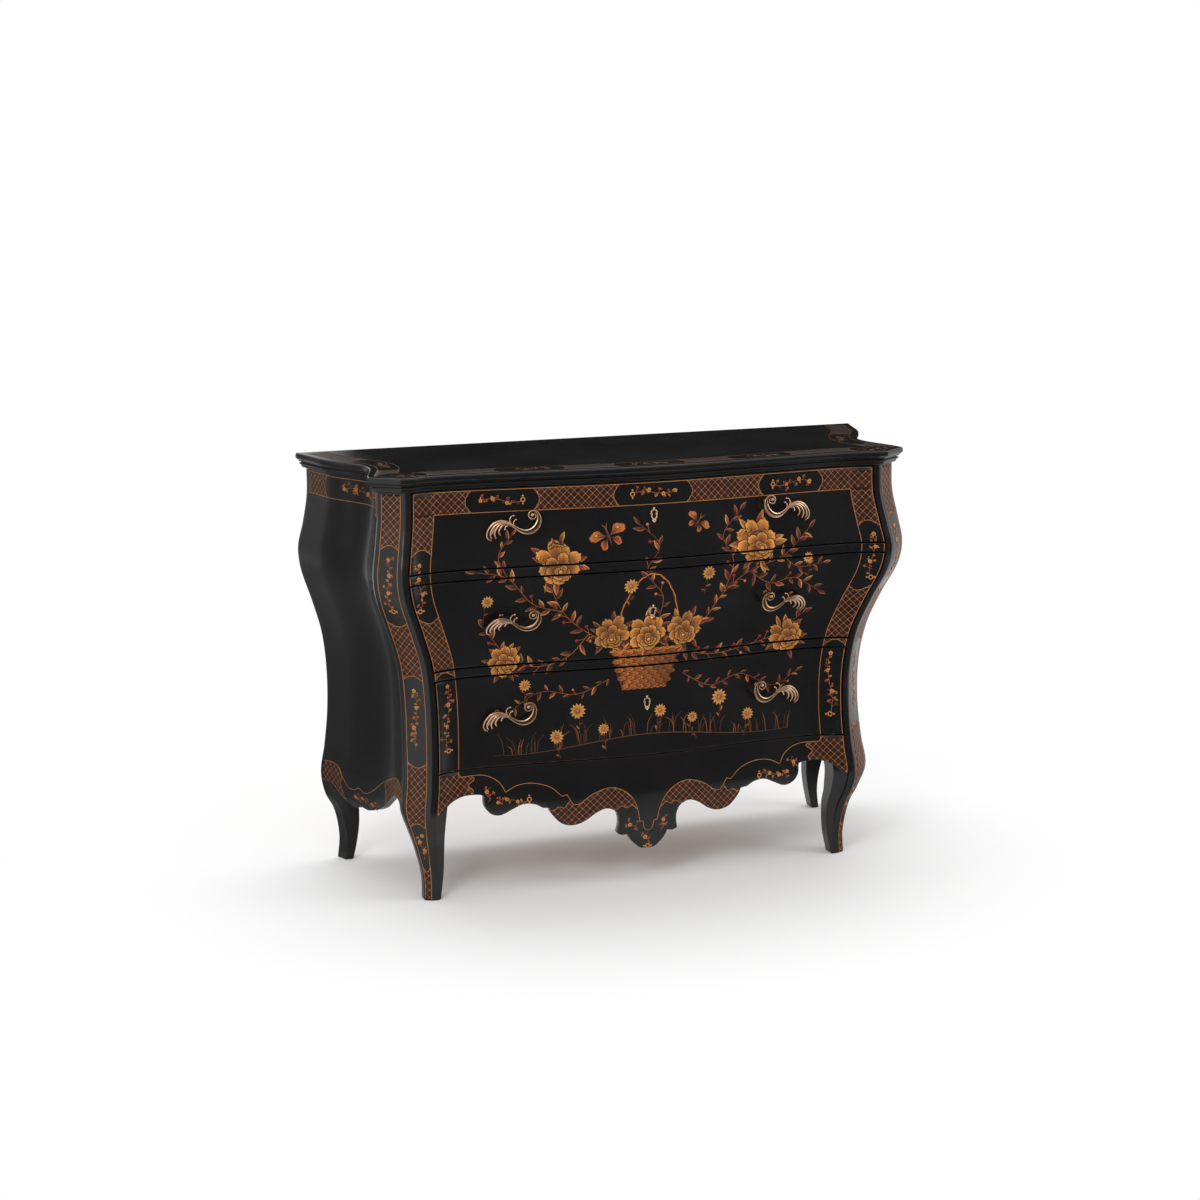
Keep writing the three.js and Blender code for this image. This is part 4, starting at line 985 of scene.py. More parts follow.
# Openwork rim of a keyhole plate and its curl below, right half from the top down: along, up, out, half width
KEYHOLE_RIM = [
    (0, 10.2, 1.6, 1.5), (4.2, 8.6, 1.8, 1.5), (6.1, 5, 1.9, 1.4), (4.6, 1.2, 1.9, 1.3),
    (5.6, -3.2, 1.9, 1.4), (4, -7, 1.8, 1.5), (0, -8.4, 1.6, 1.5),
]
KEYHOLE_CURL = [(0, -9, 1, 1.1), (3.6, -11.6, 1.2, 1.2), (1.4, -14, 1.2, 1)]
KEYHOLE_WEAR_POWER = 0.4
KEYHOLE_BEADS = [
    (0, 13.6, 1.2, 2.4), (-2.3, -10.4, 1.2, 1.9), (2.3, -10.4, 1.2, 1.9), (0, -14, 1.2, 2.3),
    (-6.9, 2, 1.2, 1.2), (6.9, 2, 1.2, 1.2),
]


def keyhole_plates():
    parts = [bead(*spot) for spot in KEYHOLE_BEADS]
    for hand in (1, -1):
        for route, bar in ((KEYHOLE_RIM, RIM_BAR), (KEYHOLE_CURL, CURL_BAR)):
            parts.append(swept([(hand * a, u, out, wide) for a, u, out, wide in route], *bar))
    parts = [(points, faces, worn ** KEYHOLE_WEAR_POWER) for points, faces, worn in parts]
    for body, (bottom, top), share in zip(DRAWER_NAMES, SPANS, KEYHOLE_SHARES):
        z = bottom + (top - bottom) * share
        brass_piece(f"{body}_keyhole_plate", parts, 0.0, z, 1, body, f"{body}_escutcheon")


scroll_pulls()
keyhole_plates()


# Colours of the paint, from 0 to 255 values
def shade(red, green, blue):
    return np.array([((c / 255 + 0.055) / 1.055) ** 2.4 if c > 10 else c / 3295 for c in (red, green, blue)])


COPPER = shade(168, 98, 54)
TRELLIS_COPPER = shade(166, 98, 52)
GILT = shade(180, 114, 58)
PALE_GOLD = shade(226, 178, 98)
BLOOM_GOLD = shade(192, 118, 38)
OCHRE = shade(166, 86, 24)
UMBER = shade(88, 44, 22)
DEEP_UMBER = shade(48, 26, 18)
RUSSET = shade(118, 48, 28)
SCARLET = shade(150, 34, 20)
ROSE = shade(226, 132, 74)
LEAF_BROWN = shade(84, 46, 26)
MAROON = shade(88, 28, 22)
PETAL_RIM = shade(212, 148, 64)


def brushed_paint():
    """Hand-laid paint: the piece's own painted colours, thinned and thickened by the brush."""
    look = Look("painted_decoration", gloss=0.3)
    streak = look.noise(260, 3, look.stretched((1, 1, 3)))
    patch = look.noise(38, 3)
    bare = look.range(patch, 0.0, 0.45, (0.5, 0.75))
    thin = look.mix(look.painted()["Color"], (0.02, 0.012, 0.008, 1), bare)
    bright = look.mix(thin, (1.35, 1.3, 1.2, 1), look.range(streak, 0.0, 0.8, (0.45, 0.75)), "MULTIPLY")
    look.bump(streak, 0.3, 0.0003)
    return look.set(Base_Color=bright, Roughness=look.range(streak, 0.34, 0.49))


def lattice_ground():
    """Brown ground of the trellis bands, with a fine second trellis scratched in."""
    look = Look("trellis_ground", gloss=0.3)
    flat = look.node("ShaderNodeUVMap", {"uv_map": "band"}).outputs["UV"]
    turned = look.node("ShaderNodeMapping", Vector=flat, Rotation=(0, 0, math.radians(45)))
    parts = look.node("ShaderNodeSeparateXYZ", Vector=turned.outputs["Vector"])
    lines = []
    for axis in ("X", "Y"):
        cell = look.maths("FRACT", look.maths("MULTIPLY", parts.outputs[axis], 1 / (TRELLIS_PITCH * MM)))
        away = look.maths("ABSOLUTE", look.maths("SUBTRACT", cell, 0.5))
        lines.append(look.range(away, 1.0, 0.0, (0.03, 0.09)))
    patch = look.noise(26, 4)
    brown = look.steps(patch, [(0.3, tuple(shade(26, 16, 13))), (0.7, tuple(shade(42, 25, 18)))])
    worn = look.range(look.noise(90, 3), 0.0, 0.6, (0.35, 0.7))
    fade = look.maths("MULTIPLY", look.maths("MAXIMUM", *lines), worn)
    scratched = look.mix(brown, (*shade(90, 52, 32), 1), fade)
    toned = look.mix(scratched, look.painted()["Color"], 1.0, "MULTIPLY")
    return look.set(Base_Color=toned, Roughness=look.range(patch, 0.32, 0.46))


TRELLIS_PITCH = 10.8
PAINT = brushed_paint()
GROUND = lattice_ground()


class Field:
    """A painted surface. place turns flat spots into points raised by a lift, zones give each body's
    heights, and tone darkens the paint."""

    def __init__(self, place, outward, zones, tone=1.0):
        self.place, self.outward, self.zones, self.tone = place, outward, zones, tone


def front_place(u, v, lift):
    return np.stack([u, apron_depth(u, v) - lift, v], -1)


def cant_frame(z):
    plan = Plan(z)
    start = np.stack([plan.arris, plan.front], -1)
    run = np.stack([plan.cant_out, plan.cant_back], -1) - start
    width = np.linalg.norm(run, axis=-1)
    return start, run / width[..., None], width


def cant_place(hand):
    def place(u, v, lift):
        start, along, _ = cant_frame(v)
        spot = start + along * u[..., None] + np.stack([along[..., 1], -along[..., 0]], -1) * lift
        return np.stack([hand * spot[..., 0], spot[..., 1], v], -1)
    return place


def side_place(hand):
    return lambda u, v, lift: np.stack([hand * (side_reach(u, v) + lift), u, v], -1)


def top_place(u, v, lift):
    surface = np.full(np.shape(u), CASE_HEIGHT + TOP_THICKNESS - TOP_COAT)
    return np.stack([u, v, surface + lift * TOP_LIFT_SHARE], -1)


# How dark the paint of sides and top is, how much of a lift the paint on the top takes, and how far paint
# stays off a piece's edge in millimetres
SIDE_TONE = 0.7
TOP_TONE = 0.22
TOP_LIFT_SHARE = 0.6
EASE = 0.7
# Fields darker than this show no dots
DOTTED_TONE = 0.5
EVERYWHERE = [("case", -math.inf, math.inf)]
FRONT_ZONES = [(name, low + EASE, high - EASE) for name, (low, high) in zip(DRAWER_NAMES, SPANS)]
FRONT_ZONES += [("case", low + EASE, high - EASE) for low, high in RAIL_SPANS]
APRON_CROWN = APRON_TOP - PARTING_GAP / 2 - EASE
FRONT_ZONES += [("case", 0, APRON_CROWN)]
FRONT = Field(front_place, (0, -1, 0), FRONT_ZONES)
CANTS = {hand: Field(cant_place(hand), (hand * 0.65, -0.76, 0), EVERYWHERE) for hand in (1, -1)}
SIDES = {hand: Field(side_place(hand), (hand, 0, 0), EVERYWHERE, SIDE_TONE) for hand in (1, -1)}
TOP = Field(top_place, (0, 0, 1), EVERYWHERE, TOP_TONE)

painted_parts = {}
dot_places = {}


def cut_between(spots, shades, faces, low, high):
    """The part of flat, coloured faces that lies between two heights."""
    v = spots[:, 1]
    kept, spots_out, shades_out = [], [spots], [shades]
    count = len(spots)
    for face in faces:
        heights = v[list(face)]
        if heights.min() >= low and heights.max() <= high:
            kept.append(face)
            continue
        if heights.max() <= low or heights.min() >= high:
            continue
        ring = [np.concatenate([spots[i], shades[i]]) for i in face]
        for limit, keep in ((low, 1), (high, -1)):
            cut = []
            for a, b in zip(ring, ring[1:] + ring[:1]):
                in_a, in_b = keep * (a[1] - limit) >= 0, keep * (b[1] - limit) >= 0
                if in_a:
                    cut.append(a)
                if in_a != in_b:
                    cut.append(a + (b - a) * (limit - a[1]) / (b[1] - a[1]))
            ring = cut
            if not ring:
                break
        if len(ring) >= 3:
            ring = np.array(ring)
            spots_out.append(ring[:, :2])
            shades_out.append(ring[:, 2:])
            kept.append(tuple(range(count, count + len(ring))))
            count += len(ring)
    return np.vstack(spots_out), np.vstack(shades_out), kept


def lay(field, spots, shades, faces, lift, kind=0):
    """Lays flat faces on a field, split between the bodies that they cross. kind 0 is paint, 1 ground."""
    spots = np.asarray(spots, float)
    shades = np.broadcast_to(np.asarray(shades, float) * field.tone, (len(spots), 3))
    low_v, high_v = spots[:, 1].min(), spots[:, 1].max()
    for body, low, high in field.zones:
        if high_v <= low or low_v >= high:
            continue
        flat, colours, kept = spots, shades, faces
        if low_v < low or high_v > high:
            flat, colours, kept = cut_between(spots, shades, faces, low, high)
        if not kept:
            continue
        points = field.place(flat[:, 0], flat[:, 1], lift)
        part = painted_parts.setdefault(
            body, {"points": [], "colours": [], "flat": [], "faces": [], "kinds": [], "count": 0})
        for face in kept:
            a, b, c = points[face[0]], points[face[1]], points[face[2]]
            ring = face if np.dot(np.cross(b - a, c - a), field.outward) >= 0 else face[::-1]
            part["faces"].append(tuple(i + part["count"] for i in ring))
            part["kinds"].append(kind)
        part["points"].append(points)
        part["colours"].append(colours)
        part["flat"].append(flat)
        part["count"] += len(points)


def stepped(path, step):
    """The same path with points no further apart than a step."""
    out = [path[0]]
    for a, b in zip(path, path[1:]):
        parts = max(1, math.ceil(np.linalg.norm(b - a) / step))
        out += [a + (b - a) * (i + 1) / parts for i in range(parts)]
    return np.array(out)


def ribbon(field, path, width, colour, lift, step=6, closed=False):
    """A painted line along a flat path; width may be one number or one for each end."""
    path = stepped(np.asarray(path, float), step)
    ahead = np.gradient(path, axis=0)
    if closed:
        ahead[0] = ahead[-1] = path[1] - path[-2]
    ahead /= np.maximum(np.linalg.norm(ahead, axis=1), 1e-9)[:, None]
    aside = np.stack([-ahead[:, 1], ahead[:, 0]], 1)
    ends = (width, width) if np.isscalar(width) else width
    half = np.interp(np.linspace(0, 1, len(path)), np.linspace(0, 1, len(ends)), ends)[:, None] / 2
    spots = np.vstack([path + aside * half, path - aside * half])
    n = len(path)
    lay(field, spots, colour, [(i, i + 1, i + 1 + n, i + n) for i in range(n - 1)], lift)


# Bands: widths of the lines, lifts off the lacquer and the grain of the ground, in millimetres
LINE = 1.1
LINE_LIFT = 0.34
TRELLIS_LINE = 0.85
TRELLIS_LIFT = 0.28
GROUND_LIFT = 0.16
GROUND_GRAIN = 8
DOT_LIFT = 0.2
DOT_RADIUS = 0.95
PAINT_COAT = 0.3


def gilt_line(field, path, step=6, width=LINE):
    ribbon(field, path, width, GILT, LINE_LIFT, step)


def ground(field, outline):
    """Brown ground over an outline, with its copper trellis and the dots on the crossings."""
    outline = np.asarray(outline, float)
    flat, faces = fill_outline(outline, GROUND_GRAIN)
    lay(field, flat, np.ones(3), faces, GROUND_LIFT, 1)
    ends = np.roll(outline, -1, axis=0)
    pitch = TRELLIS_PITCH * math.sqrt(2)
    for sign in (1, -1):
        a, b = outline[:, 0] + sign * outline[:, 1], ends[:, 0] + sign * ends[:, 1]
        for number in range(math.ceil(a.min() / pitch), math.floor(a.max() / pitch) + 1):
            level = number * pitch
            crosses = (a > level) != (b > level)
            t = (level - a[crosses]) / (b[crosses] - a[crosses])
            hits = outline[crosses] + (ends[crosses] - outline[crosses]) * t[:, None]
            hits = hits[np.argsort(hits[:, 0])]
            for p, q in zip(hits[::2], hits[1::2]):
                if np.linalg.norm(q - p) > 1:
                    ribbon(field, [p, q], TRELLIS_LINE, TRELLIS_COPPER, TRELLIS_LIFT, 8)
    low, high = outline.min(0), outline.max(0)
    marks = []
    for i in range(math.floor((low[0] - high[1]) / pitch), math.ceil((high[0] - low[1]) / pitch) + 1):
        for j in range(math.floor((low[0] + low[1]) / pitch), math.ceil((high[0] + high[1]) / pitch) + 1):
            marks.append(((i + j) * pitch / 2, (j - i) * pitch / 2))
    marks = np.array(marks)
    marks = marks[inside(marks, outline)]
    for body, bottom, top in field.zones:
        here = marks[(marks[:, 1] > bottom + 1) & (marks[:, 1] < top - 1)]
        if field.tone > DOTTED_TONE and len(here):
            dot_places.setdefault(body, []).append(field.place(here[:, 0], here[:, 1], DOT_LIFT))


# End of a cartouche across a band: place across, and how far it reaches, as shares
ARCH_HALF_SHARES = [
    (0, 1), (0.36, 0.88), (0.54, 0.6), (0.62, 0.45), (0.76, 0.42), (0.82, 0.2), (0.9, 0.05), (1, 0),
]
ARCH_SHARES = [(-across, reach) for across, reach in ARCH_HALF_SHARES[:0:-1]] + ARCH_HALF_SHARES


class Band:
    """A band on a field. place(s, n) gives the flat spot at s along and the share n across, from -1 to 1."""

    def __init__(self, field, place, arch=11, line=LINE):
        self.field, self.place, self.arch, self.line = field, place, arch, line

    def end(self, s, side):
        """Edge of a trellis stretch: straight, or beside a cartouche that lies toward side."""
        if side == 0:
            return [self.place(s, n) for n in np.linspace(-1, 1, 7)]
        return [self.place(s + side * self.arch * (1 - reach), n) for n, reach in ARCH_SHARES]

    def stretch(self, start, end, start_side=-1, end_side=1):
        """Trellis from start to end, with scalloped ends where a cartouche follows."""
        first, last = self.end(start, start_side), self.end(end, end_side)
        s0 = start + start_side * self.arch * (start_side != 0)
        s1 = end + end_side * self.arch * (end_side != 0)
        along = np.linspace(s0, s1, max(3, int(abs(s1 - s0) / 8)))[1:-1]
        outline = first + [self.place(s, 1) for s in along]
        outline += last[::-1] + [self.place(s, -1) for s in along[::-1]]
        ground(self.field, np.array(outline, float))
        for edge, side in ((first, start_side), (last, end_side)):
            if side:
                gilt_line(self.field, edge, 4, self.line)

    def rule(self, start, end, n):
        """Gilt line along the band at the share n across it."""
        along = np.linspace(start, end, max(3, int(abs(end - start) / 7)))
        gilt_line(self.field, [self.place(s, n) for s in along], width=self.line)


# Brushwork: lifts of the layers off the lacquer in millimetres, and a blade's points across, as shares
LIFTS = {
    "basket": 0.3, "bank": 0.32, "grass": 0.33, "twig": 0.34, "handle": 0.34, "stem": 0.36, "strand": 0.36,
    "leaf": 0.38, "stem_leaf": 0.4, "twig_leaf": 0.42, "scroll": 0.44, "stake": 0.46, "rim": 0.48,
    "berry": 0.5, "daisy": 0.5, "feeler": 0.5, "wing_spot": 0.56, "insect": 0.6, "daisy_eye": 0.62,
    "bloom_eye": 0.76, "seed": 0.78,
}
VEIN_LIFT = 0.05
BLADE_SHARES = (-1, -0.55, 0, 0.55, 1)


def directions(angle):
    """Unit steps ahead along an angle and to its left."""
    ahead = np.array([math.cos(angle), math.sin(angle)])
    return ahead, np.array([-ahead[1], ahead[0]])


def out_from(centre, angle, reach):
    """The spot at a reach from a centre."""
    return np.asarray(centre) + reach * directions(angle)[0]


def heading_of(step):
    return math.atan2(step[1], step[0])


def blade(field, base, angle, length, width, colours, bend, lift, tip, steps, full=1.0, sided=0):
    """A petal or leaf: colours are root, middle and edge. tip says how far along it is widest, full how
    blunt it is, and sided puts the edge's colour on one side only."""
    root, middle, rim = colours
    spots, shades = [], []
    ahead, aside = directions(angle)
    for t in np.linspace(0, 1, steps + 1):
        fat = math.sin(math.pi * min(max(t ** (math.log(0.5) / math.log(tip)), 0.03), 0.985)) ** full
        centre = np.asarray(base) + ahead * length * t + aside * bend * length * t * t
        for s in BLADE_SHARES:
            spots.append(centre + aside * width / 2 * fat * s)
            tone = root * (1 - t) ** 1.2 + middle * (1 - (1 - t) ** 1.2)
            edge = min(max(abs(s) if sided == 0 else s * sided, 0) ** 3 * 0.85 + 0.5 * t ** 4, 1)
            shades.append(tone * (1 - edge) + rim * edge)
    lay(field, spots, shades, grid_faces(steps, len(BLADE_SHARES) - 1), lift)


def disc(field, centre, radius, inner, outer, lift, sides=10):
    """A berry or a flower's eye, shaded from a lit spot outward."""
    turn = np.linspace(0, 2 * math.pi, sides, endpoint=False)
    rim = np.asarray(centre) + radius * np.stack([np.cos(turn), np.sin(turn)], 1)
    lit = np.asarray(centre) + radius * np.array([-0.25, 0.3])
    shades = np.vstack([np.tile(outer, (sides, 1)), [inner]])
    lay(field, np.vstack([rim, [lit]]), shades, [(i, (i + 1) % sides, sides) for i in range(sides)], lift)


def ring(field, centre, radius, width, colour, lift):
    turn = np.linspace(0, 2 * math.pi, 15)
    path = np.asarray(centre) + radius * np.stack([np.cos(turn), np.sin(turn)], 1)
    ribbon(field, path, width, colour, lift, 4, closed=True)


LEAF_TONES = [
    (DEEP_UMBER, UMBER, GILT), (DEEP_UMBER, MAROON, ROSE * 0.7), (MAROON, SCARLET, PALE_GOLD),
    (UMBER, OCHRE, PALE_GOLD),
]
LEAF_MIX = (0, 0, 1, 1, 1, 2, 3)


def leaf(field, base, angle, length, rng):
    tone = LEAF_TONES[rng.choice(LEAF_MIX)]
    bend = rng.uniform(-0.2, 0.2)
    breadth = length * rng.uniform(0.32, 0.44)
    blade(field, base, angle, length, breadth, tone, bend, LIFTS["leaf"], tip=0.45, steps=5,
          sided=rng.choice((-1, 1)))
    ahead, aside = directions(angle)
    vein = [np.asarray(base) + ahead * length * t + aside * bend * length * t * t
            for t in (0, 0.35, 0.7, 0.9)]
    ribbon(field, vein, (0.9, 0.5), DEEP_UMBER, LIFTS["leaf"] + VEIN_LIFT)


# Petals: rows and columns of the mesh, where they are widest, how round they end and how deep their lobes are
PETAL_GRID = (7, 8)
PETAL_WIDEST_SHARE = 0.72
PETAL_ROUNDING = 0.26
LOBE_SHARE = 0.06


def petal(field, root, angle, length, breadth, tones, lift):
    """A broad petal with a lobed outer edge: tones are its root, its middle and its rim."""
    inner, middle, rim = tones
    ahead, aside = directions(angle)
    rows, columns = PETAL_GRID
    spots, shades = [], []
    for t in np.linspace(0, 1, rows + 1):
        half = breadth / 2 * math.sin(math.pi / 2 * min(max(t, 0.06) / PETAL_WIDEST_SHARE, 1)) ** 0.8
        for s in np.linspace(-1, 1, columns + 1):
            lobes = 1 + LOBE_SHARE * t * math.cos(3 * math.pi * s)
            reach = length * t * (1 - PETAL_ROUNDING * s * s * t) * lobes
            spots.append(root + ahead * reach + aside * half * s)
            edge = min(t ** 5 + 0.6 * abs(s) ** 5, 1)
            deep = min((1 - t) / 0.7, 1)
            shades.append((inner * deep + middle * (1 - deep)) * (1 - edge) + rim * edge)
    lay(field, spots, shades, grid_faces(rows, columns), lift)


# Rows of a bloom's petals: how many, and where they start, how long and how broad, as shares of its radius
PETAL_ROW_SHARES = [(9, 0.2, 0.84, 0.62), (6, 0.06, 0.56, 0.52), (3, 0.0, 0.3, 0.34)]
# How far each row leans to one side, and how much shorter it is there, as shares of its radius
LEAN_SHARE = 0.12
SHORTER_SHARE = 0.3
SEEDS = 9
# Lift of the lowest petals, of each further row and of each further petal, and the dark rim around a petal
BLOOM_LIFT, ROW_LIFT, PETAL_LIFT = 0.42, 0.07, 0.01
RIM_LENGTH, RIM_BREADTH, RIM_DEPTH = 1.6, 3.2, 0.004
VEIN_SIDE_SHARES = (-0.24, -0.08, 0.08, 0.24)
VEIN_SHARES = (0.1, 0.4, 0.72)


def bloom(field, centre, radius, rng, warm):
    """A full garden flower: rows of broad petals, dark at their roots and pale at their rims."""
    centre = np.asarray(centre, float)
    toward = rng.uniform(-2.4, -0.7)
    lean = radius * LEAN_SHARE * directions(toward)[0]
    for row, (count, start, length, breadth) in enumerate(PETAL_ROW_SHARES):
        centre = centre + lean
        turn = rng.random()
        wide = radius * breadth
        for k in range(count):
            angle = 2 * math.pi * (k + turn) / count + rng.uniform(-0.12, 0.12)
            ahead, aside = directions(angle)
            tint = rng.uniform(0.8, 1.1) * warm * (1 - 0.12 * row)
            reach = radius * length * rng.uniform(0.86, 1.1) * (1 - SHORTER_SHARE * math.cos(angle - toward))
            lift = BLOOM_LIFT + ROW_LIFT * row + PETAL_LIFT * k
            root = centre + ahead * radius * start
            dark = [DEEP_UMBER * 0.6] * 3
            tones = (UMBER, (BLOOM_GOLD + OCHRE) / 2 * tint, PETAL_RIM * tint)
            petal(field, root, angle, reach + RIM_LENGTH, wide + RIM_BREADTH, dark, lift - RIM_DEPTH)
            petal(field, root, angle, reach, wide, tones, lift)
            for side in VEIN_SIDE_SHARES:
                vein = [root + ahead * reach * t + aside * side * wide * (0.3 + t) for t in VEIN_SHARES]
                ribbon(field, vein, (1.1, 0.3), OCHRE * 0.6, lift + 0.03)
    disc(field, centre, radius * 0.12, PALE_GOLD, RUSSET, LIFTS["bloom_eye"])
    for k in range(SEEDS):
        spot = out_from(centre, 2 * math.pi * k / SEEDS, radius * 0.19)
        disc(field, spot, radius * 0.032, PALE_GOLD, GILT, LIFTS["seed"], 6)


def daisy(field, centre, radius, colours=(RUSSET, BLOOM_GOLD, PALE_GOLD), petals=12):
    for k in range(petals):
        angle = 2 * math.pi * (k + 0.3) / petals
        lift = LIFTS["daisy"] + PETAL_LIFT * (k % 2)
        blade(field, centre, angle, radius, radius * 3.8 / petals, colours, 0, lift, tip=0.7, steps=3)
    disc(field, centre, radius * 0.28, ROSE, SCARLET, LIFTS["daisy_eye"], 8)


def twig(field, spots, width, colour, lift=LIFTS["twig"]):
    path = smooth_line(spots, 5)
    ribbon(field, path, width, colour, lift, 5)
    return path


def leafy_twig(field, spots, rng, leaf_size, width, every, berries, colour):
    """A twig with leaves on both sides, and berries in place of a share of the leaves."""
    path = twig(field, spots, width, colour)
    steps = np.linalg.norm(np.diff(path, axis=0), axis=1).cumsum()
    side = 1
    for mark in np.arange(every * 0.6, steps[-1], every):
        i = min(int(np.searchsorted(steps, mark)), len(path) - 2)
        away = heading_of(path[i + 1] - path[i]) + side * rng.uniform(0.55, 1.0)
        if rng.random() < berries:
            stem = out_from(path[i], away, 0.7 * leaf_size)
            twig(field, [path[i], (path[i] + stem) / 2 + rng.uniform(-1, 1), stem], 0.9, OCHRE)
            lit = ROSE if rng.random() < 0.3 else SCARLET
            disc(field, stem, leaf_size * 0.15, lit, SCARLET * 0.6, LIFTS["berry"])
        else:
            leaf(field, path[i], away, leaf_size * rng.uniform(0.75, 1.15), rng)
        side = -side
    leaf(field, path[-1], heading_of(path[-1] - path[-2]), leaf_size * 0.9, rng)


# Wings of a butterfly: angle off its heading, length as a share of its size, colours, bend and lift
WINGS = [
    (1.0, 1.0, (MAROON, OCHRE, BLOOM_GOLD), 0.25, 0.46),
    (2.1, 0.7, (MAROON, SCARLET, BLOOM_GOLD), 0.2, 0.42),
]
WING_RIM_DEPTH = 0.01
WING_VEIN_LIFT = 0.04


def butterfly(field, centre, size, angle):
    for side in (1, -1):
        for way, share, tones, bend, lift in WINGS:
            heading = angle + side * way
            bent = side * bend
            length = size * share
            edge = [DEEP_UMBER] * 3
            rim = lift - WING_RIM_DEPTH
            blade(field, centre, heading, length * 1.06, length * 0.7, edge, bent, rim, tip=0.72, steps=6)
            blade(field, centre, heading, length, length * 0.62, tones, bent, lift, tip=0.72, steps=6)
            for fan in (-0.2, 0, 0.2):
                tip = out_from(centre, heading + fan, length * 0.72)
                ribbon(field, [centre, tip], (1.6, 0.9), DEEP_UMBER, lift + WING_VEIN_LIFT)
        spot = out_from(centre, angle + side * 1.1, size * 0.68)
        disc(field, spot, size * 0.09, PALE_GOLD, SCARLET, LIFTS["wing_spot"], 8)
        feeler = out_from(centre, angle, size * 0.35)
        far = out_from(feeler, angle + side * 0.35, size * 0.4)
        middle = (feeler + far) / 2 + side * size * 0.03
        ribbon(field, smooth_line([feeler, middle, far], 4), 0.7, GILT, LIFTS["feeler"])
    body = [out_from(centre, angle, size * t) for t in (-0.4, -0.1, 0.2, 0.38)]
    ribbon(field, body, (1.2, size * 0.12, size * 0.1), UMBER, LIFTS["insect"], 3)


SPRAY_TONES = (
    (UMBER, UMBER, PALE_GOLD), (DEEP_UMBER, MAROON, RUSSET), (MAROON, SCARLET, COPPER),
    (UMBER, OCHRE, BLOOM_GOLD),
)
# The stem's points, and where a long and a short spray bear their blossoms, as shares of the stem
STEM_SHARES = (0.08, 0.3, 0.55, 0.8, 1)
LONG_SPRAY_SHARES = (0.36, 0.66, 0.96)
SHORT_SPRAY_SHARES = (0.6,)
# Lengths in millimetres: the least of a long spray, the stem's sway and the space between twigs
LONG_SPRAY = 60
SPRAY_SWAY = 5
TWIG_SPACE = 8
# How often a twig stands for a leaf, and how often a berry hangs by it
TWIG_CHANCE = 0.45
BERRY_CHANCE = 0.4


def spray(field, centre, length, angle, rng, loops=True):
    """A little spray for a cartouche: a curved stem with side twigs, leaves, blossoms and a scrolled foot."""
    centre = np.asarray(centre, float)
    ahead, aside = directions(angle)
    sway = rng.choice((-1, 1)) * SPRAY_SWAY
    spots = [centre + ahead * length * (t - 0.5) + aside * sway * math.sin(t * 6.3) for t in STEM_SHARES]
    path = twig(field, spots, (1.1, 0.7), COPPER * 0.7, LIFTS["stem"])
    side = 1
    for mark in np.arange(TWIG_SPACE - 1, length * 0.9, TWIG_SPACE):
        start = path[min(int(mark / length * len(path)), len(path) - 1)]
        way = angle + side * rng.uniform(0.6, 1.2)
        reach = rng.uniform(6, 9.5)
        end = out_from(start, way, reach)
        if rng.random() < TWIG_CHANCE:
            twig(field, [start, (start + end) / 2 + rng.uniform(-0.8, 0.8), end], 0.8, COPPER * 0.7)
            for turn in (-0.9, 0.0, 0.9):
                size, tones = rng.uniform(4.5, 7), rng.choice(SPRAY_TONES)
                blade(field, end, way + turn, size, 3.0, tones, 0, LIFTS["twig_leaf"], tip=0.5, steps=3)
        else:
            tones, bend = rng.choice(SPRAY_TONES), rng.uniform(-0.2, 0.2)
            blade(field, start, way, reach, 4.0, tones, bend, LIFTS["stem_leaf"], tip=0.5, steps=4)
        if rng.random() < BERRY_CHANCE:
            berry = end - side * aside * 2 + ahead * 3
            disc(field, berry, rng.uniform(1.4, 2.1), ROSE, SCARLET, LIFTS["berry"], 8)
        side = -side
    for share in LONG_SPRAY_SHARES if length > LONG_SPRAY else SHORT_SPRAY_SHARES:
        spot = path[int(share * (len(path) - 1))] + aside * rng.uniform(-3, 3)
        daisy(field, spot, rng.uniform(4, 5.6), (OCHRE, BLOOM_GOLD, PALE_GOLD), 5)
    if loops:
        foot = centre - ahead * length * 0.44
        ring(field, foot, 4.2, 2.2, OCHRE, LIFTS["scroll"])
        ring(field, foot, 4.4, 0.7, PALE_GOLD, LIFTS["rim"])
        for hand in (1, -1):
            disc(field, foot + aside * hand * 8, 2.2, PALE_GOLD, OCHRE, LIFTS["scroll"])


# Bands of the front: margins, and where trellis starts and ends along each band, in millimetres
LINE_MARGIN = 3.2
BAND_WIDTH = 45
TOP_LINE = SPANS[0][1] - LINE_MARGIN
LOW_LINE = TOP_LINE - BAND_WIDTH
TOP_STRETCH = (86, 240)
TOP_OUTER_STRETCH = 392
SIDE_UPPER_STRETCH = 753
SIDE_STRETCH = (490, 601)
SIDE_RULE_FOOT = LEG_TOP - 6
INNER_RULE_FOOT = APRON_TOP - 14
# Sprays in the cartouches of the side and top bands: place along the band and length
SIDE_SPRAYS = ((676, 104), (390, 150))
TOP_SPRAY = (316, 96)
MIDDLE_SPRAY_LENGTH = 104


def outer_half(z):
    return Plan(z).opening - LINE_MARGIN


def side_band_place(hand):
    def place(z, n):
        return float(hand * (outer_half(z) - BAND_WIDTH / 2 * (1 - n))), float(z)
    return place


def top_band_place(x, n):
    return float(x), TOP_LINE - BAND_WIDTH / 2 * (1 - n)


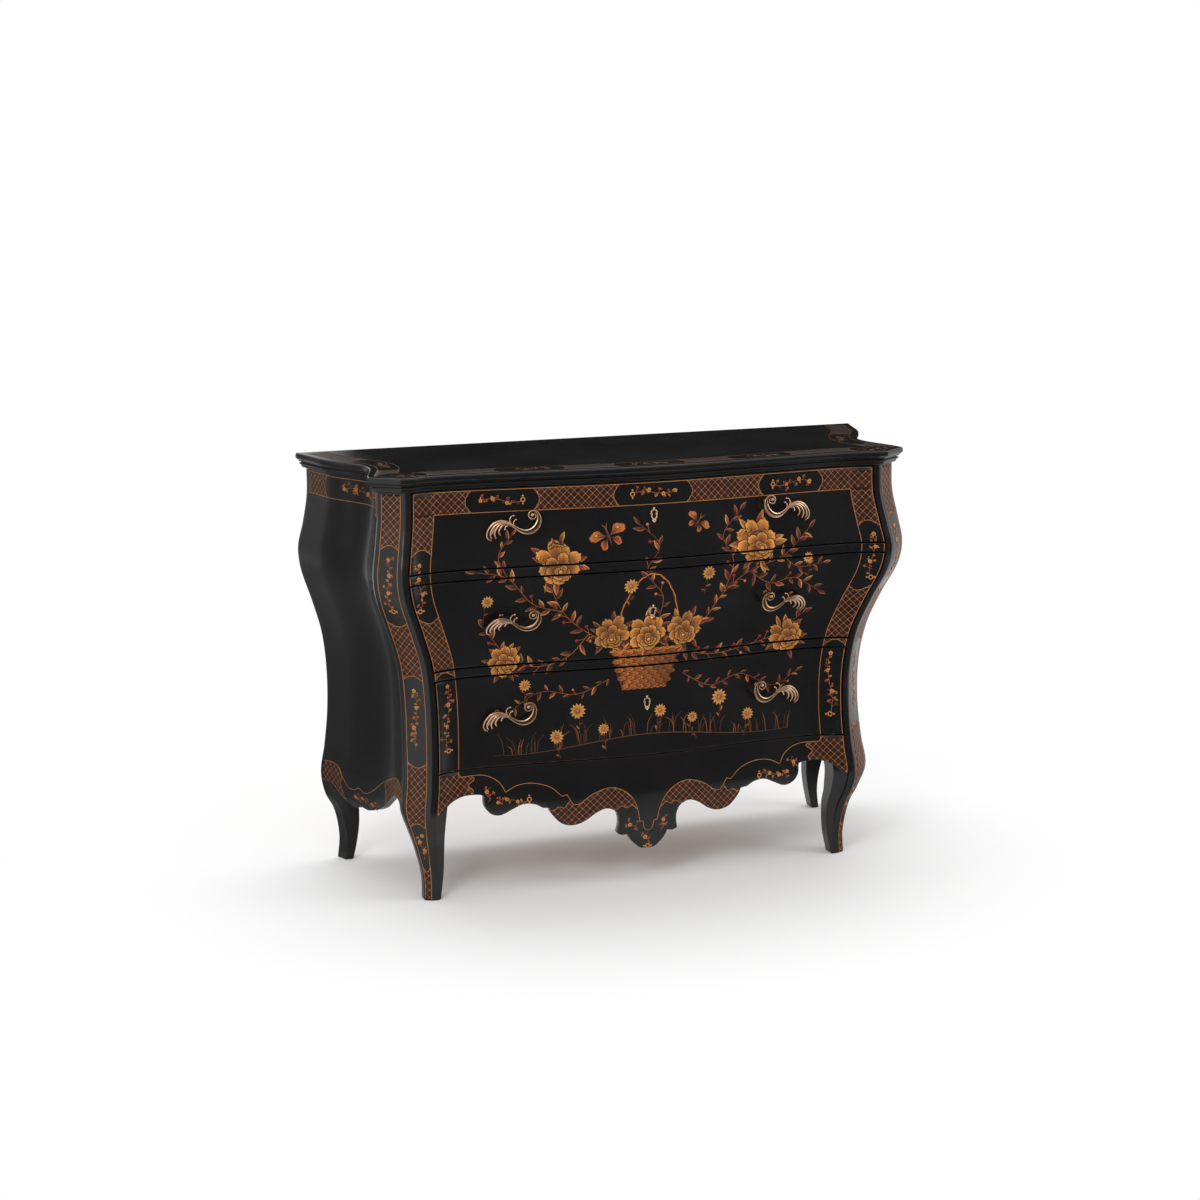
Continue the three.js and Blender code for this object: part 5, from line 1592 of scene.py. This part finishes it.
def front_bands(rng):
    top = Band(FRONT, top_band_place)
    inner_corner = outer_half(LOW_LINE) - BAND_WIDTH
    corner = outer_half(TOP_LINE)
    for hand in (1, -1):
        top.stretch(*sorted(hand * x for x in TOP_STRETCH))
        edges = sorted((hand * TOP_OUTER_STRETCH, hand * float(inner_corner)))
        top.stretch(*edges, *((-1, 0) if hand > 0 else (0, 1)))
        zs = np.linspace(LOW_LINE, TOP_LINE, 7)
        outline = [(hand * float(outer_half(z)), z) for z in zs]
        outline += [(hand * float(inner_corner), z) for z in zs[::-1]]
        ground(FRONT, outline)
        band = Band(FRONT, side_band_place(hand))
        band.stretch(SIDE_UPPER_STRETCH, LOW_LINE, -1, 0)
        band.stretch(*SIDE_STRETCH)
        band.rule(SIDE_RULE_FOOT, TOP_LINE, 1)
        band.rule(INNER_RULE_FOOT, LOW_LINE, -1)
        for z, length in SIDE_SPRAYS:
            spray(FRONT, band.place(z, 0.05), length, math.pi / 2, rng)
        x, length = TOP_SPRAY
        spray(FRONT, top.place(hand * x, 0), length, 0 if hand > 0 else math.pi, rng)
    spray(FRONT, top.place(0, 0.1), MIDDLE_SPRAY_LENGTH, 0.04, rng)
    for reach, z in ((corner, TOP_LINE), (inner_corner, LOW_LINE)):
        gilt_line(FRONT, [(-reach, z), (reach, z)])


# Gilt line above the apron's fretted edge, right half, and the borders of its cartouches
APRON_LINE_SHARES = [
    (0, 0.412), (0.011, 0.416), (0.021, 0.44), (0.027, 0.487), (0.044, 0.492), (0.052, 0.57), (0.074, 0.66),
    (0.113, 0.735), (0.184, 0.781), (0.269, 0.745), (0.33, 0.675), (0.362, 0.668), (0.394, 0.753),
    (0.416, 0.742), (0.468, 0.817), (0.548, 0.857), (0.622, 0.849), (0.676, 0.806), (0.708, 0.889),
    (0.776, 0.946), (0.884, 0.95),
]
APRON_LINE_CORNERS = (3, 4, 11, 12, 13, 17)
APRON_WAIST_SHARES = (0.142, 0.53)
# Ends of the apron's cartouches, right half in millimetres: points down from the gilt line, and where the
# end meets the fretted edge
MIDDLE_END, MIDDLE_FOOT = [(28, 166), (38, 175), (50, 170), (60, 175), (72, 168)], 80
INNER_END, INNER_FOOT = [(177, 192), (184, 181), (196, 184), (206, 178)], 214
OUTER_END, OUTER_FOOT = [(379, 264), (374, 257), (388, 246), (378, 235)], 381
FRET_CLEARANCE = 0.9
# Sprays of the apron: place, length and heading on the right half, and whether the foot is scrolled; then
# the ones on the drop in the middle, with the lean of the side ones
APRON_SPRAYS = (((292, 206), 74, 0, True), ((345, 222), 34, math.pi / 2 + 0.3, False))
DROP_SPRAY = ((0, 94), 34)
DROP_SIDE_SPRAY = ((34, 128), 40, -0.5)


def between(line, low, high):
    """The part of a line whose first value lies between two limits, ends included."""
    line = np.asarray(line)
    kept = line[(line[:, 0] > low) & (line[:, 0] < high)]
    ends = [(x, float(np.interp(x, line[:, 0], line[:, 1]))) for x in (low, high)]
    return np.vstack([[ends[0]], kept, [ends[1]]])


def cartouche_end(spots, foot, fret):
    """Scalloped end of a cartouche, from its upper line down to the fretted edge at a foot."""
    return smooth_line([*spots, (foot, float(np.interp(foot, *fret.T)))], 4)


def apron_bands(rng):
    size = np.array([APRON_HALF, APRON_TOP])
    right = cornered_line(np.array(APRON_LINE_SHARES) * size, APRON_LINE_CORNERS, 5)
    edge = apron_edge()
    waist = np.argmin(np.abs(edge - APRON_WAIST_SHARES * size).sum(1))
    fret = edge[waist:]
    middle = cartouche_end(MIDDLE_END, MIDDLE_FOOT, fret)
    inner_end = cartouche_end(INNER_END, INNER_FOOT, fret)
    outer_end = cartouche_end(OUTER_END, OUTER_FOOT, fret)
    low_start = float(outer_half(LEG_TOP)) - 1
    clear = (0, FRET_CLEARANCE)
    for hand in (1, -1):
        turn = np.array([hand, 1])
        gilt_line(FRONT, right * turn, 4)
        upper = between(right, MIDDLE_END[0][0], INNER_END[0][0])[1:-1]
        lower = between(fret, MIDDLE_FOOT, INNER_FOOT)
        ground(FRONT, np.vstack([middle, lower[1:-1] + clear, inner_end[::-1], upper[::-1]]) * turn)
        upper = between(right, OUTER_END[0][0], float(right[-1][0]))[1:]
        lower = between(fret, OUTER_FOOT, low_start)
        rising = np.linspace(lower[-1][1] + 4, APRON_CROWN, 10)
        flank = np.stack([outer_half(np.maximum(rising, LEG_TOP)), rising], 1)
        crown = [(float(outer_half(APRON_TOP)) - BAND_WIDTH, APRON_CROWN)]
        ground(FRONT, np.vstack([outer_end, lower[1:] + clear, flank, crown, upper[::-1]]) * turn)
        for line in (middle, inner_end, outer_end):
            gilt_line(FRONT, line * turn, 3)
        for (x, z), length, way, loops in APRON_SPRAYS:
            angle = way if hand > 0 else math.pi - way
            spray(FRONT, (hand * x, z), length, angle, rng, loops)
    (x, z), length = DROP_SPRAY
    spray(FRONT, (x, z), length, math.pi / 2, rng)
    (x, z), length, way = DROP_SIDE_SPRAY
    for hand in (1, -1):
        spray(FRONT, (hand * x, z), length, math.pi / 2 + hand * way, rng, loops=False)


# Bands of the canted corners: middle and half width as shares of the face, ends in millimetres
CANT_BAND_SHARES = (0.51, 0.35)
CANT_BAND_FOOT = 3
CANT_BAND_TOP = CASE_HEIGHT - 4
CANT_STRETCHES = (
    (765, CANT_BAND_TOP, -1, 0), (485, 596, -1, 1), (176, 292, -1, 1), (CANT_BAND_FOOT, 62, 0, 1),
)
CANT_SPRAYS = ((683, 118, True), (388, 140, False), (118, 66, False))


def cant_bands(hand, rng):
    field = CANTS[hand]
    middle, reach = CANT_BAND_SHARES

    def place(z, n):
        width = float(cant_frame(np.asarray(float(z)))[2])
        return width * (middle + reach * n), float(z)

    band = Band(field, place, 9, 1.15)
    for stretch in CANT_STRETCHES:
        band.stretch(*stretch)
    for n in (-1, 1):
        band.rule(CANT_BAND_FOOT, CANT_BAND_TOP, n)
    for z, length, loops in CANT_SPRAYS:
        spray(field, place(z, 0), length, math.pi / 2, rng, loops)


# Bands of the sides: depths and heights in millimetres
SIDE_BAND_LOW = 817
SIDE_BAND_HIGH = CASE_HEIGHT - 5
SIDE_BAND_BACK = 212
SIDE_BAND_MARGIN = 5
SIDE_BACK_STRETCH = 138
SIDE_FRONT_STRETCH = 16
SIDE_UPPER_SPRAY = ((18, 840), 120)
SIDE_LOWER_SPRAY = ((70, 164), 84)
SIDE_LINE = [
    (-121, 236), (-80, 249), (-36, 243), (7, 224), (40, 199), (63, 186), (78, 184), (89, 192), (104, 184),
    (124, 185), (142, 203), (160, 222), (185, 228), (214, 226),
]
SIDE_LINE_CORNERS = (8,)
SIDE_FRONT_END, SIDE_FRONT_FOOT = [(-6, 229), (3, 220), (-4, 208)], 2
SIDE_BACK_END, SIDE_BACK_FOOT = [(152, 215), (145, 200), (153, 188)], 150


def side_bands(hand, rng):
    field = SIDES[hand]
    middle, reach = (SIDE_BAND_HIGH + SIDE_BAND_LOW) / 2, (SIDE_BAND_HIGH - SIDE_BAND_LOW) / 2
    spot, length = SIDE_UPPER_SPRAY
    start = float(Plan(spot[1]).cant_back) + SIDE_BAND_MARGIN
    band = Band(field, lambda y, n: (float(y), middle + reach * n), 9)
    band.stretch(SIDE_BACK_STRETCH, SIDE_BAND_BACK, -1, 0)
    band.stretch(start, start + SIDE_FRONT_STRETCH, 0, 1)
    for n in (-1, 1):
        band.rule(start, SIDE_BAND_BACK, n)
    spray(field, spot, length, 0, rng)
    line = cornered_line(SIDE_LINE, SIDE_LINE_CORNERS, 4)
    gilt_line(field, line, 4)
    fret = side_edge()
    front = cartouche_end(SIDE_FRONT_END, SIDE_FRONT_FOOT, fret)
    back = cartouche_end(SIDE_BACK_END, SIDE_BACK_FOOT, fret)
    first, last = SIDE_LINE[0][0], SIDE_LINE[-1][0]
    ahead = between(line, first, SIDE_FRONT_END[0][0])[:-1]
    under = between(fret, first, SIDE_FRONT_FOOT)[:-1]
    ground(field, np.vstack([ahead, front, under[::-1] + (0, 1)]))
    behind = between(line, SIDE_BACK_END[0][0], last)[1:]
    under = between(fret, SIDE_BACK_FOOT, last)[1:]
    ground(field, np.vstack([back[::-1], behind, under[::-1] + (0, 1)]))
    for path in (front, back):
        gilt_line(field, path, 3)
    spot, length = SIDE_LOWER_SPRAY
    spray(field, spot, length, 0, rng, loops=False)


# Border of the top: inset and half width in millimetres, stretches and sprays as shares of its length
TOP_BORDER_INSET = 7
TOP_BORDER_REACH = 22
TOP_STRETCH_SHARES = ((0.0, 0.09), (0.165, 0.2), (0.27, 0.335), (0.41, 0.46))
TOP_SPRAY_SHARES = (0.128, 0.235, 0.372, 0.5, 0.628, 0.765, 0.872)
TOP_SPRAY_LENGTH = 76
TOP_BORDER_BACK = BACK_REACH - 6


def top_border(rng):
    """Border that follows the top's moulded outline, with cartouches in it."""
    outline = top_ring(0.66)
    half = len(outline) // 2 + 1
    right = outline[:half]
    edge = np.vstack([right[::-1] * np.array([-1, 1]), right[1:]])
    steps = np.concatenate([[0], np.linalg.norm(np.diff(edge, axis=0), axis=1).cumsum()])
    whole = steps[-1]
    ahead = np.gradient(edge, axis=0)
    kernel = np.ones(9) / 9
    ahead = np.stack([np.convolve(np.pad(ahead[:, k], 4, "edge"), kernel, "valid") for k in (0, 1)], 1)
    inward = np.stack([-ahead[:, 1], ahead[:, 0]], 1)
    inward /= np.linalg.norm(inward, axis=1)[:, None]

    def place(s, n):
        spot = np.array([np.interp(s, steps, edge[:, k]) for k in (0, 1)])
        way = np.array([np.interp(s, steps, inward[:, k]) for k in (0, 1)])
        spot = spot + unit(way) * (TOP_BORDER_INSET + TOP_BORDER_REACH * (1 - n))
        return float(spot[0]), float(min(spot[1], TOP_BORDER_BACK))

    band = Band(TOP, place, 10, 1.2)
    first, last = TOP_BORDER_REACH, whole - TOP_BORDER_REACH
    for low, high in TOP_STRETCH_SHARES:
        for a, b in ((low, high), (1 - high, 1 - low)):
            ends = (0 if a == 0 else -1, 0 if b == 1 else 1)
            band.stretch(max(a * whole, first), min(b * whole, last), *ends)
    for n in (-1, 1):
        band.rule(first, last, n)
    for share in TOP_SPRAY_SHARES:
        here, there = np.array(place(share * whole - 5, 0)), np.array(place(share * whole + 5, 0))
        way = heading_of(there - here)
        spray(TOP, place(share * whole, 0), TOP_SPRAY_LENGTH, way, rng, loops=share == 0.5)


# Picture across the drawers: a basket of garden flowers with leafy twigs, butterflies and grasses
BASKET_ROWS = 9
BASKET_STAKES = 12


def basket(centre, width, height):
    """Woven basket: short strands over and under upright stakes, with a twisted rim, foot and handle."""
    x, z = centre

    def half(level):
        return width * (0.3 + 0.16 * math.sin(level * math.pi / 2))

    levels = np.linspace(0, 1, 5)
    outline = [(x + half(level), z + height * level) for level in levels]
    outline += [(x - half(level), z + height * level) for level in levels[::-1]]
    flat, faces = fill_outline(outline, 7)
    lay(FRONT, flat, UMBER * 0.7, faces, LIFTS["basket"])
    rows, stakes = BASKET_ROWS, BASKET_STAKES
    for row in range(rows):
        level = (row + 0.5) / rows
        step = 2 * half(level) / stakes
        for k in range(stakes):
            if (k + row) % 2:
                continue
            start = (x - half(level) + step * (k - 0.25), z + height * level)
            shadow = 1.15 - 0.75 * k / stakes
            tones = (UMBER, OCHRE * shadow, BLOOM_GOLD * shadow)
            blade(FRONT, start, 0, step * 1.9, height / rows * 1.05, tones, 0, LIFTS["strand"],
                  tip=0.5, steps=5, full=0.45)
    for k in range(stakes + 1):
        share = k / stakes * 2 - 1
        stake = [(x + share * half(level), z + height * level) for level in (0, 0.33, 0.66, 1)]
        ribbon(FRONT, stake, 1.0, RUSSET * (1 - 0.4 * k / stakes), LIFTS["stake"])
    turn = np.linspace(0, math.pi, 34)
    for phase in (0, math.pi):
        wave = np.linspace(-half(1) * 1.1, half(1) * 1.1, 60)
        rim = np.stack([x + wave, z + height + 2.2 * np.sin(wave / 3.4 + phase)], 1)
        ribbon(FRONT, rim, 2.6, BLOOM_GOLD if phase else OCHRE, LIFTS["rim"], 4)
        foot = np.stack([x + wave * 0.62, z + 1.6 * np.sin(wave / 3.4 + phase)], 1)
        ribbon(FRONT, foot, 2.2, OCHRE if phase else UMBER, LIFTS["rim"], 4)
        bow = 1.6 * np.sin(turn * 22 + phase)
        arc_x, arc_z = (half(1) + bow) * np.cos(turn), (height * 2.0 + bow) * np.sin(turn)
        arc = np.stack([x + arc_x, z + height + arc_z], 1)
        ribbon(FRONT, arc, 1.8, BLOOM_GOLD if phase else RUSSET, LIFTS["handle"] + 0.02 * phase, 4)


GRASS_COLOURS = (LEAF_BROWN, UMBER, OCHRE * 0.8, LEAF_BROWN)


def grasses(rng, centre, count, reach, spread):
    """A tuft of grass: fine blades of many lengths that lean out and bow over."""
    for _ in range(count):
        x = centre[0] + rng.uniform(-spread, spread)
        lean = rng.uniform(-1, 1)
        size = reach * rng.uniform(0.35, 1.1)
        tip = (x + lean * size * 0.5, centre[1] + size * (1 - 0.2 * abs(lean)))
        bow = (x + lean * size * 0.13, centre[1] + size * 0.55)
        stalk = smooth_line([(x, centre[1]), bow, tip], 6)
        ribbon(FRONT, stalk, (0.8, 1.3, 0.3), rng.choice(GRASS_COLOURS), LIFTS["grass"])


# Stems of the picture, its blooms and its daisies: places across and up the front
PICTURE_TWIGS = [
    [(52, 520), (118, 560), (158, 620), (214, 664), (292, 690), (356, 744)],
    [(158, 620), (176, 688), (154, 744), (196, 792)],
    [(214, 664), (268, 632), (322, 640), (384, 606)],
    [(-58, 520), (-132, 552), (-192, 604), (-224, 680), (-200, 752)],
    [(-192, 604), (-258, 626), (-312, 684), (-378, 700)],
    [(-132, 552), (-176, 502), (-246, 486), (-304, 516), (-356, 580)],
    [(62, 500), (152, 484), (234, 496), (292, 512), (356, 556)],
    [(14, 560), (20, 626), (-20, 680), (10, 734), (-30, 778)],
    [(-84, 448), (-152, 420), (-228, 430), (-296, 390)],
    [(80, 448), (146, 414), (218, 432), (296, 398), (352, 424)],
    [(292, 690), (330, 664), (388, 668)],
    [(-312, 684), (-330, 728), (-300, 770)],
]
LARGE_LEAF_TWIGS = 8
THICK_TWIGS = 7
PICTURE_BLOOMS = [
    (-84, 548, 36), (76, 546, 37), (-6, 544, 40), (-206, 706, 43), (232, 722, 45), (322, 504, 36),
    (-308, 500, 34),
]
BLOOM_LEAVES = 7
PICTURE_DAISIES = [
    (-150, 384, 17), (-196, 332, 15), (168, 386, 18), (236, 342, 14), (-52, 652, 16), (120, 668, 15),
    (30, 372, 14), (-262, 446, 13), (352, 682, 12), (-352, 636, 13), (104, 350, 12), (-96, 342, 12),
]
BASKET_PLACE = (-6, 424)
BASKET_WIDTH = 156
BASKET_HEIGHT = 84
# Butterflies: place, size and heading
BUTTERFLIES = [((-98, 756), 40, 1.9), ((96, 774), 28, 0.9)]


# The rolling ground that the grasses stand on: height, rise and width of its swells, in millimetres
BANK_HEIGHT = 312
BANK_RISE = 12
BANK_SWELL = 90


def bank_height(x):
    return BANK_HEIGHT + BANK_RISE * math.cos(x / BANK_SWELL)


def garden_picture(rng):
    for k, spots in enumerate(PICTURE_TWIGS):
        leaf_size = 25 if k < LARGE_LEAF_TWIGS else 19
        width = (1.7, 0.7) if k < THICK_TWIGS else (1.3, 0.6)
        leafy_twig(FRONT, spots, rng, leaf_size, width, 15, 0.14, OCHRE * 0.75)
    basket(BASKET_PLACE, BASKET_WIDTH, BASKET_HEIGHT)
    for x, z, radius in PICTURE_BLOOMS:
        for k in range(BLOOM_LEAVES):
            angle = 2 * math.pi * (k + rng.random()) / BLOOM_LEAVES
            leaf(FRONT, out_from((x, z), angle, radius * 0.72), angle, radius * rng.uniform(0.6, 0.9), rng)
        bloom(FRONT, (x, z), radius, rng, rng.uniform(0.85, 1.1))
    for x, z, radius in PICTURE_DAISIES:
        stem = [(x, z), (x + rng.uniform(-6, 6), z - 20), (x + rng.uniform(-12, 12), z - 46)]
        leafy_twig(FRONT, stem[::-1], rng, 11, (1.2, 0.8), 13, 0.1, LEAF_BROWN)
        daisy(FRONT, (x, z), radius)
    for place, size, heading in BUTTERFLIES:
        butterfly(FRONT, place, size, heading)
    for x in range(-290, 311, 50):
        grasses(rng, (x, bank_height(x)), 6, 52, 22)
    bank = [(x, bank_height(x)) for x in range(-330, 341, 14)]
    ribbon(FRONT, bank, (0.6, 2.2, 2.2, 0.6), LEAF_BROWN, LIFTS["bank"])


def paint_pieces():
    """One painted piece for each body, given a real thickness that sinks into the lacquer."""
    for body, part in painted_parts.items():
        points, colours, flat = (np.vstack(part[key]) for key in ("points", "colours", "flat"))
        piece = new_piece(f"{body}_painted_decoration", points, part["faces"], [PAINT, GROUND],
                          smooth=FINE_ANGLE, merge=False, slots=part["kinds"], colours=colours, uvs=flat)
        coat = piece.modifiers.new("coat", "SOLIDIFY")
        coat.thickness = PAINT_COAT * MM
        coat.offset = -1
        bake(piece)
        settle(piece, body, "black_lacquer")


def dot_tree():
    """Geometry Nodes tree: a small flattened bead on every point."""
    tree = bpy.data.node_groups.new("trellis_dots", "GeometryNodeTree")
    for name, way, kind in (("Points", "INPUT", "Geometry"), ("Radius", "INPUT", "Float"),
                            ("Finish", "INPUT", "Material"), ("Dots", "OUTPUT", "Geometry")):
        tree.interface.new_socket(name, in_out=way, socket_type=f"NodeSocket{kind}")
    given, out = tree.nodes.new("NodeGroupInput"), tree.nodes.new("NodeGroupOutput")
    bead = tree.nodes.new("GeometryNodeMeshIcoSphere")
    bead.inputs["Subdivisions"].default_value = 1
    points = tree.nodes.new("GeometryNodeMeshToPoints")
    instances = tree.nodes.new("GeometryNodeInstanceOnPoints")
    real = tree.nodes.new("GeometryNodeRealizeInstances")
    dress = tree.nodes.new("GeometryNodeSetMaterial")
    for start, result, end, socket in (
            (given, "Points", points, "Mesh"), (given, "Radius", bead, "Radius"),
            (points, "Points", instances, "Points"), (bead, "Mesh", instances, "Instance"),
            (instances, "Instances", real, "Geometry"), (real, "Geometry", dress, "Geometry"),
            (given, "Finish", dress, "Material"), (dress, "Geometry", out, "Dots")):
        tree.links.new(start.outputs[result], end.inputs[socket])
    return tree


def give(piece, tree, **values):
    """Puts a Geometry Nodes tree on a piece with its inputs, and bakes the result."""
    modifier = piece.modifiers.new(tree.name, "NODES")
    modifier.node_group = tree
    sockets = {item.name: item.identifier for item in tree.interface.items_tree if item.in_out == "INPUT"}
    for name, value in values.items():
        modifier[sockets[name]] = value
    return bake(piece)


def gold_dots():
    look = Look("gold_dots", gloss=0.4)
    cloud = look.noise(120, 3)
    colour = look.steps(cloud, [(0.35, tuple(COPPER)), (0.65, tuple(PALE_GOLD))])
    finish = look.set(Base_Color=colour, Roughness=look.range(cloud, 0.3, 0.45))
    tree = dot_tree()
    for body, places in dot_places.items():
        piece = new_piece(f"{body}_trellis_dots", np.vstack(places), [], [finish], merge=False)
        give(piece, tree, Radius=DOT_RADIUS * MM, Finish=finish)
        piece.data.shade_smooth()
        settle(piece, body, "black_lacquer")


front_bands(random.Random(11))
apron_bands(random.Random(12))
for hand in (1, -1):
    cant_bands(hand, random.Random(20 + hand))
    side_bands(hand, random.Random(30 + hand))
top_border(random.Random(41))
garden_picture(random.Random(5))
paint_pieces()
gold_dots()
dress_carcass()


# Studio: camera at the photograph's angle, pale floor, soft light; degrees and metres
CAMERA_AZIMUTH = -19.508
CAMERA_ELEVATION = 11.735
CAMERA_ROLL = -0.3
CAMERA_PLACE = (-1.7071, -4.6960, 1.6157)
SENSOR_WIDTH = 36
FOCAL_SHARE = 2379.8 / 1200
FLOOR_REACH = 30
# Lamps: place, aim, size and power
LAMPS = {
    "key_light": ((-2.6, -2.8, 3.0), (0, 0, 0.45), (1.3, 1.3), 42),
    "fill_light": ((3.2, -1.6, 2.0), (0, 0, 0.5), (1.6, 2.4), 24),
    "top_light": ((0, 0.8, 3.2), (0, 0, 0.6), (2.6, 1.6), 26),
}
ROOM_STRENGTH = 0.8


def camera():
    azimuth, elevation, roll = (math.radians(a) for a in (CAMERA_AZIMUTH, CAMERA_ELEVATION, CAMERA_ROLL))
    flat = math.cos(elevation)
    back = Vector((math.sin(azimuth) * flat, -math.cos(azimuth) * flat, math.sin(elevation)))
    level = Vector((math.cos(azimuth), math.sin(azimuth), 0))
    upright = back.cross(level)
    right = level * math.cos(roll) + upright * math.sin(roll)
    up = upright * math.cos(roll) - level * math.sin(roll)
    lens = bpy.data.cameras.new("camera")
    lens.sensor_width = SENSOR_WIDTH
    lens.lens = SENSOR_WIDTH * FOCAL_SHARE
    eye = bpy.data.objects.new("camera", lens)
    x, y, z = CAMERA_PLACE
    eye.matrix_world = Matrix((
        (right.x, up.x, back.x, x), (right.y, up.y, back.y, y - DEPTH_MIDDLE * MM),
        (right.z, up.z, back.z, z), (0, 0, 0, 1)))
    bpy.context.scene.collection.objects.link(eye)
    bpy.context.scene.camera = eye


def soft_light(name, place, aim, size, power):
    lamp = bpy.data.lights.new(name, "AREA")
    lamp.shape = "RECTANGLE"
    lamp.size, lamp.size_y = size
    lamp.energy = power
    light = bpy.data.objects.new(name, lamp)
    light.location = place
    light.rotation_euler = (Vector(aim) - Vector(place)).to_track_quat("-Z", "Y").to_euler()
    bpy.context.scene.collection.objects.link(light)


def seen_directly(tree):
    """1 for rays from the camera, from a mirror or through glass."""
    path = tree.nodes.new("ShaderNodeLightPath")
    seen = path.outputs["Is Camera Ray"]
    for kind in ("Is Glossy Ray", "Is Transmission Ray"):
        either = tree.nodes.new("ShaderNodeMath")
        either.operation = "MAXIMUM"
        tree.links.new(seen, either.inputs[0])
        tree.links.new(path.outputs[kind], either.inputs[1])
        seen = either.outputs[0]
    return seen


def stage_panel(name, corners, look):
    mesh = bpy.data.meshes.new(name)
    mesh.from_pydata(corners, [], [(0, 1, 2, 3)])
    mesh.materials.append(look)
    panel = bpy.data.objects.new(name, mesh)
    bpy.context.scene.collection.objects.link(panel)
    return panel


def pale_floor():
    """Pale floor that turns into the white background away from the object."""
    look = Look("studio_floor", roughness=0.9, gloss=0.0)
    look.set(Base_Color=(0.95, 0.95, 0.95, 1))
    flat = look.node("ShaderNodeVectorMath", {"operation": "MULTIPLY"})
    look.put(flat.inputs[0], look.place)
    flat.inputs[1].default_value = (1, 1, 0)
    far = look.node("ShaderNodeVectorMath", {"operation": "LENGTH"})
    look.put(far.inputs[0], flat.outputs["Vector"])
    fade = look.range(far.outputs["Value"], 0.0, 1.0, (0.55, 1.35))
    shown = look.maths("MULTIPLY", fade, seen_directly(look.tree))
    white = look.node("ShaderNodeEmission", Color=(1, 1, 1, 1), Strength=1.0)
    return look.join(look.shader.outputs["BSDF"], white.outputs["Emission"], shown)


def soft_cloth(edge, tone):
    """Dark cloth that thins out toward its edges, so that what mirrors it shades off gently."""
    look = Look(f"dark_cloth_{edge}_{tone}", roughness=0.95, gloss=0.0)
    look.set(Base_Color=(tone, tone, tone, 1))
    flat = look.node("ShaderNodeUVMap", {"uv_map": "cloth"}).outputs["UV"]
    spread = look.node("ShaderNodeSeparateXYZ", Vector=flat)
    dense = [look.range(look.maths("PINGPONG", spread.outputs[axis], 0.5), 0.0, 1.0, (0.0, edge))
             for axis in ("X", "Y")]
    clear = look.node("ShaderNodeBsdfTransparent")
    return look.join(clear.outputs["BSDF"], look.shader.outputs["BSDF"], look.maths("MULTIPLY", *dense))


# Cloths: how far their edges thin out as a share of their span, how light they are, and where they are in
# metres; a hanging cloth has its depth and two corners across and up, a cloth on the floor its lift and four
# corners across and back
HANGING_FLAGS = {
    "front_flag": (0.12, 0.1, -1.9, (-0.8, -0.4), (2.5, 1.75)),
    "back_flag": (0.06, 0.012, 1.5, (-0.4, -0.3), (2.9, 2.0)),
    "side_flag": (0.2, 0.2, 1.5, (-7.3, -0.7), (-0.6, 2.0)),
}
FLOOR_FLAGS = {
    "floor_flag": (0.12, 0.1, 0.002, [(-0.75, -2.3), (1.75, -2.3), (1.15, -0.38), (-0.55, -0.38)]),
    "leg_flag": (0.45, 0.012, 0.0015, [(0.4, -0.6), (1.05, -0.6), (1.05, 0.3), (0.4, 0.3)]),
    "back_leg_flag": (0.35, 0.012, 0.0015, [(-1.1, 0.1), (-0.56, 0.1), (-0.56, 0.8), (-1.1, 0.8)]),
    "side_floor_flag": (0.14, 0.2, 0.002, [(-5.2, -0.3), (-0.15, -0.3), (-0.4, 2.0), (-5.2, 2.4)]),
}


def dark_flags():
    """Dark cloths around the set, which only the polished lacquer and brass mirror."""
    flags = {}
    for name, (edge, tone, y, (x0, z0), (x1, z1)) in HANGING_FLAGS.items():
        flags[name] = (edge, tone, [(x0, y, z0), (x1, y, z0), (x1, y, z1), (x0, y, z1)])
    for name, (edge, tone, lift, corners) in FLOOR_FLAGS.items():
        flags[name] = (edge, tone, [(x, y, lift) for x, y in corners])
    for name, (edge, tone, corners) in flags.items():
        flag = stage_panel(name, corners, soft_cloth(edge, tone))
        layer = flag.data.uv_layers.new(name="cloth")
        layer.data.foreach_set("uv", [0, 0, 1, 0, 1, 1, 0, 1])
        flag.visible_camera = False
        flag.visible_diffuse = False
        flag.visible_shadow = False
        flag.visible_transmission = False


def studio():
    low, high = -FLOOR_REACH, FLOOR_REACH
    corners = [(low, low, 0), (high, low, 0), (high, high, 0), (low, high, 0)]
    stage_panel("studio_floor", corners, pale_floor())
    dark_flags()

    world = bpy.data.worlds.new("studio")
    bpy.context.scene.world = world
    world.use_nodes = True
    tree = world.node_tree
    tree.nodes.clear()
    room, white = (tree.nodes.new("ShaderNodeBackground") for _ in range(2))
    for ground_light, strength in ((room, ROOM_STRENGTH), (white, 1)):
        ground_light.inputs["Color"].default_value = (1, 1, 1, 1)
        ground_light.inputs["Strength"].default_value = strength
    mix = tree.nodes.new("ShaderNodeMixShader")
    tree.links.new(seen_directly(tree), mix.inputs[0])
    tree.links.new(room.outputs[0], mix.inputs[1])
    tree.links.new(white.outputs[0], mix.inputs[2])
    out = tree.nodes.new("ShaderNodeOutputWorld")
    tree.links.new(mix.outputs[0], out.inputs["Surface"])

    for name, (place, aim, size, power) in LAMPS.items():
        soft_light(name, place, aim, size, power)
    bpy.context.scene.view_settings.view_transform = "Standard"


camera()
studio()
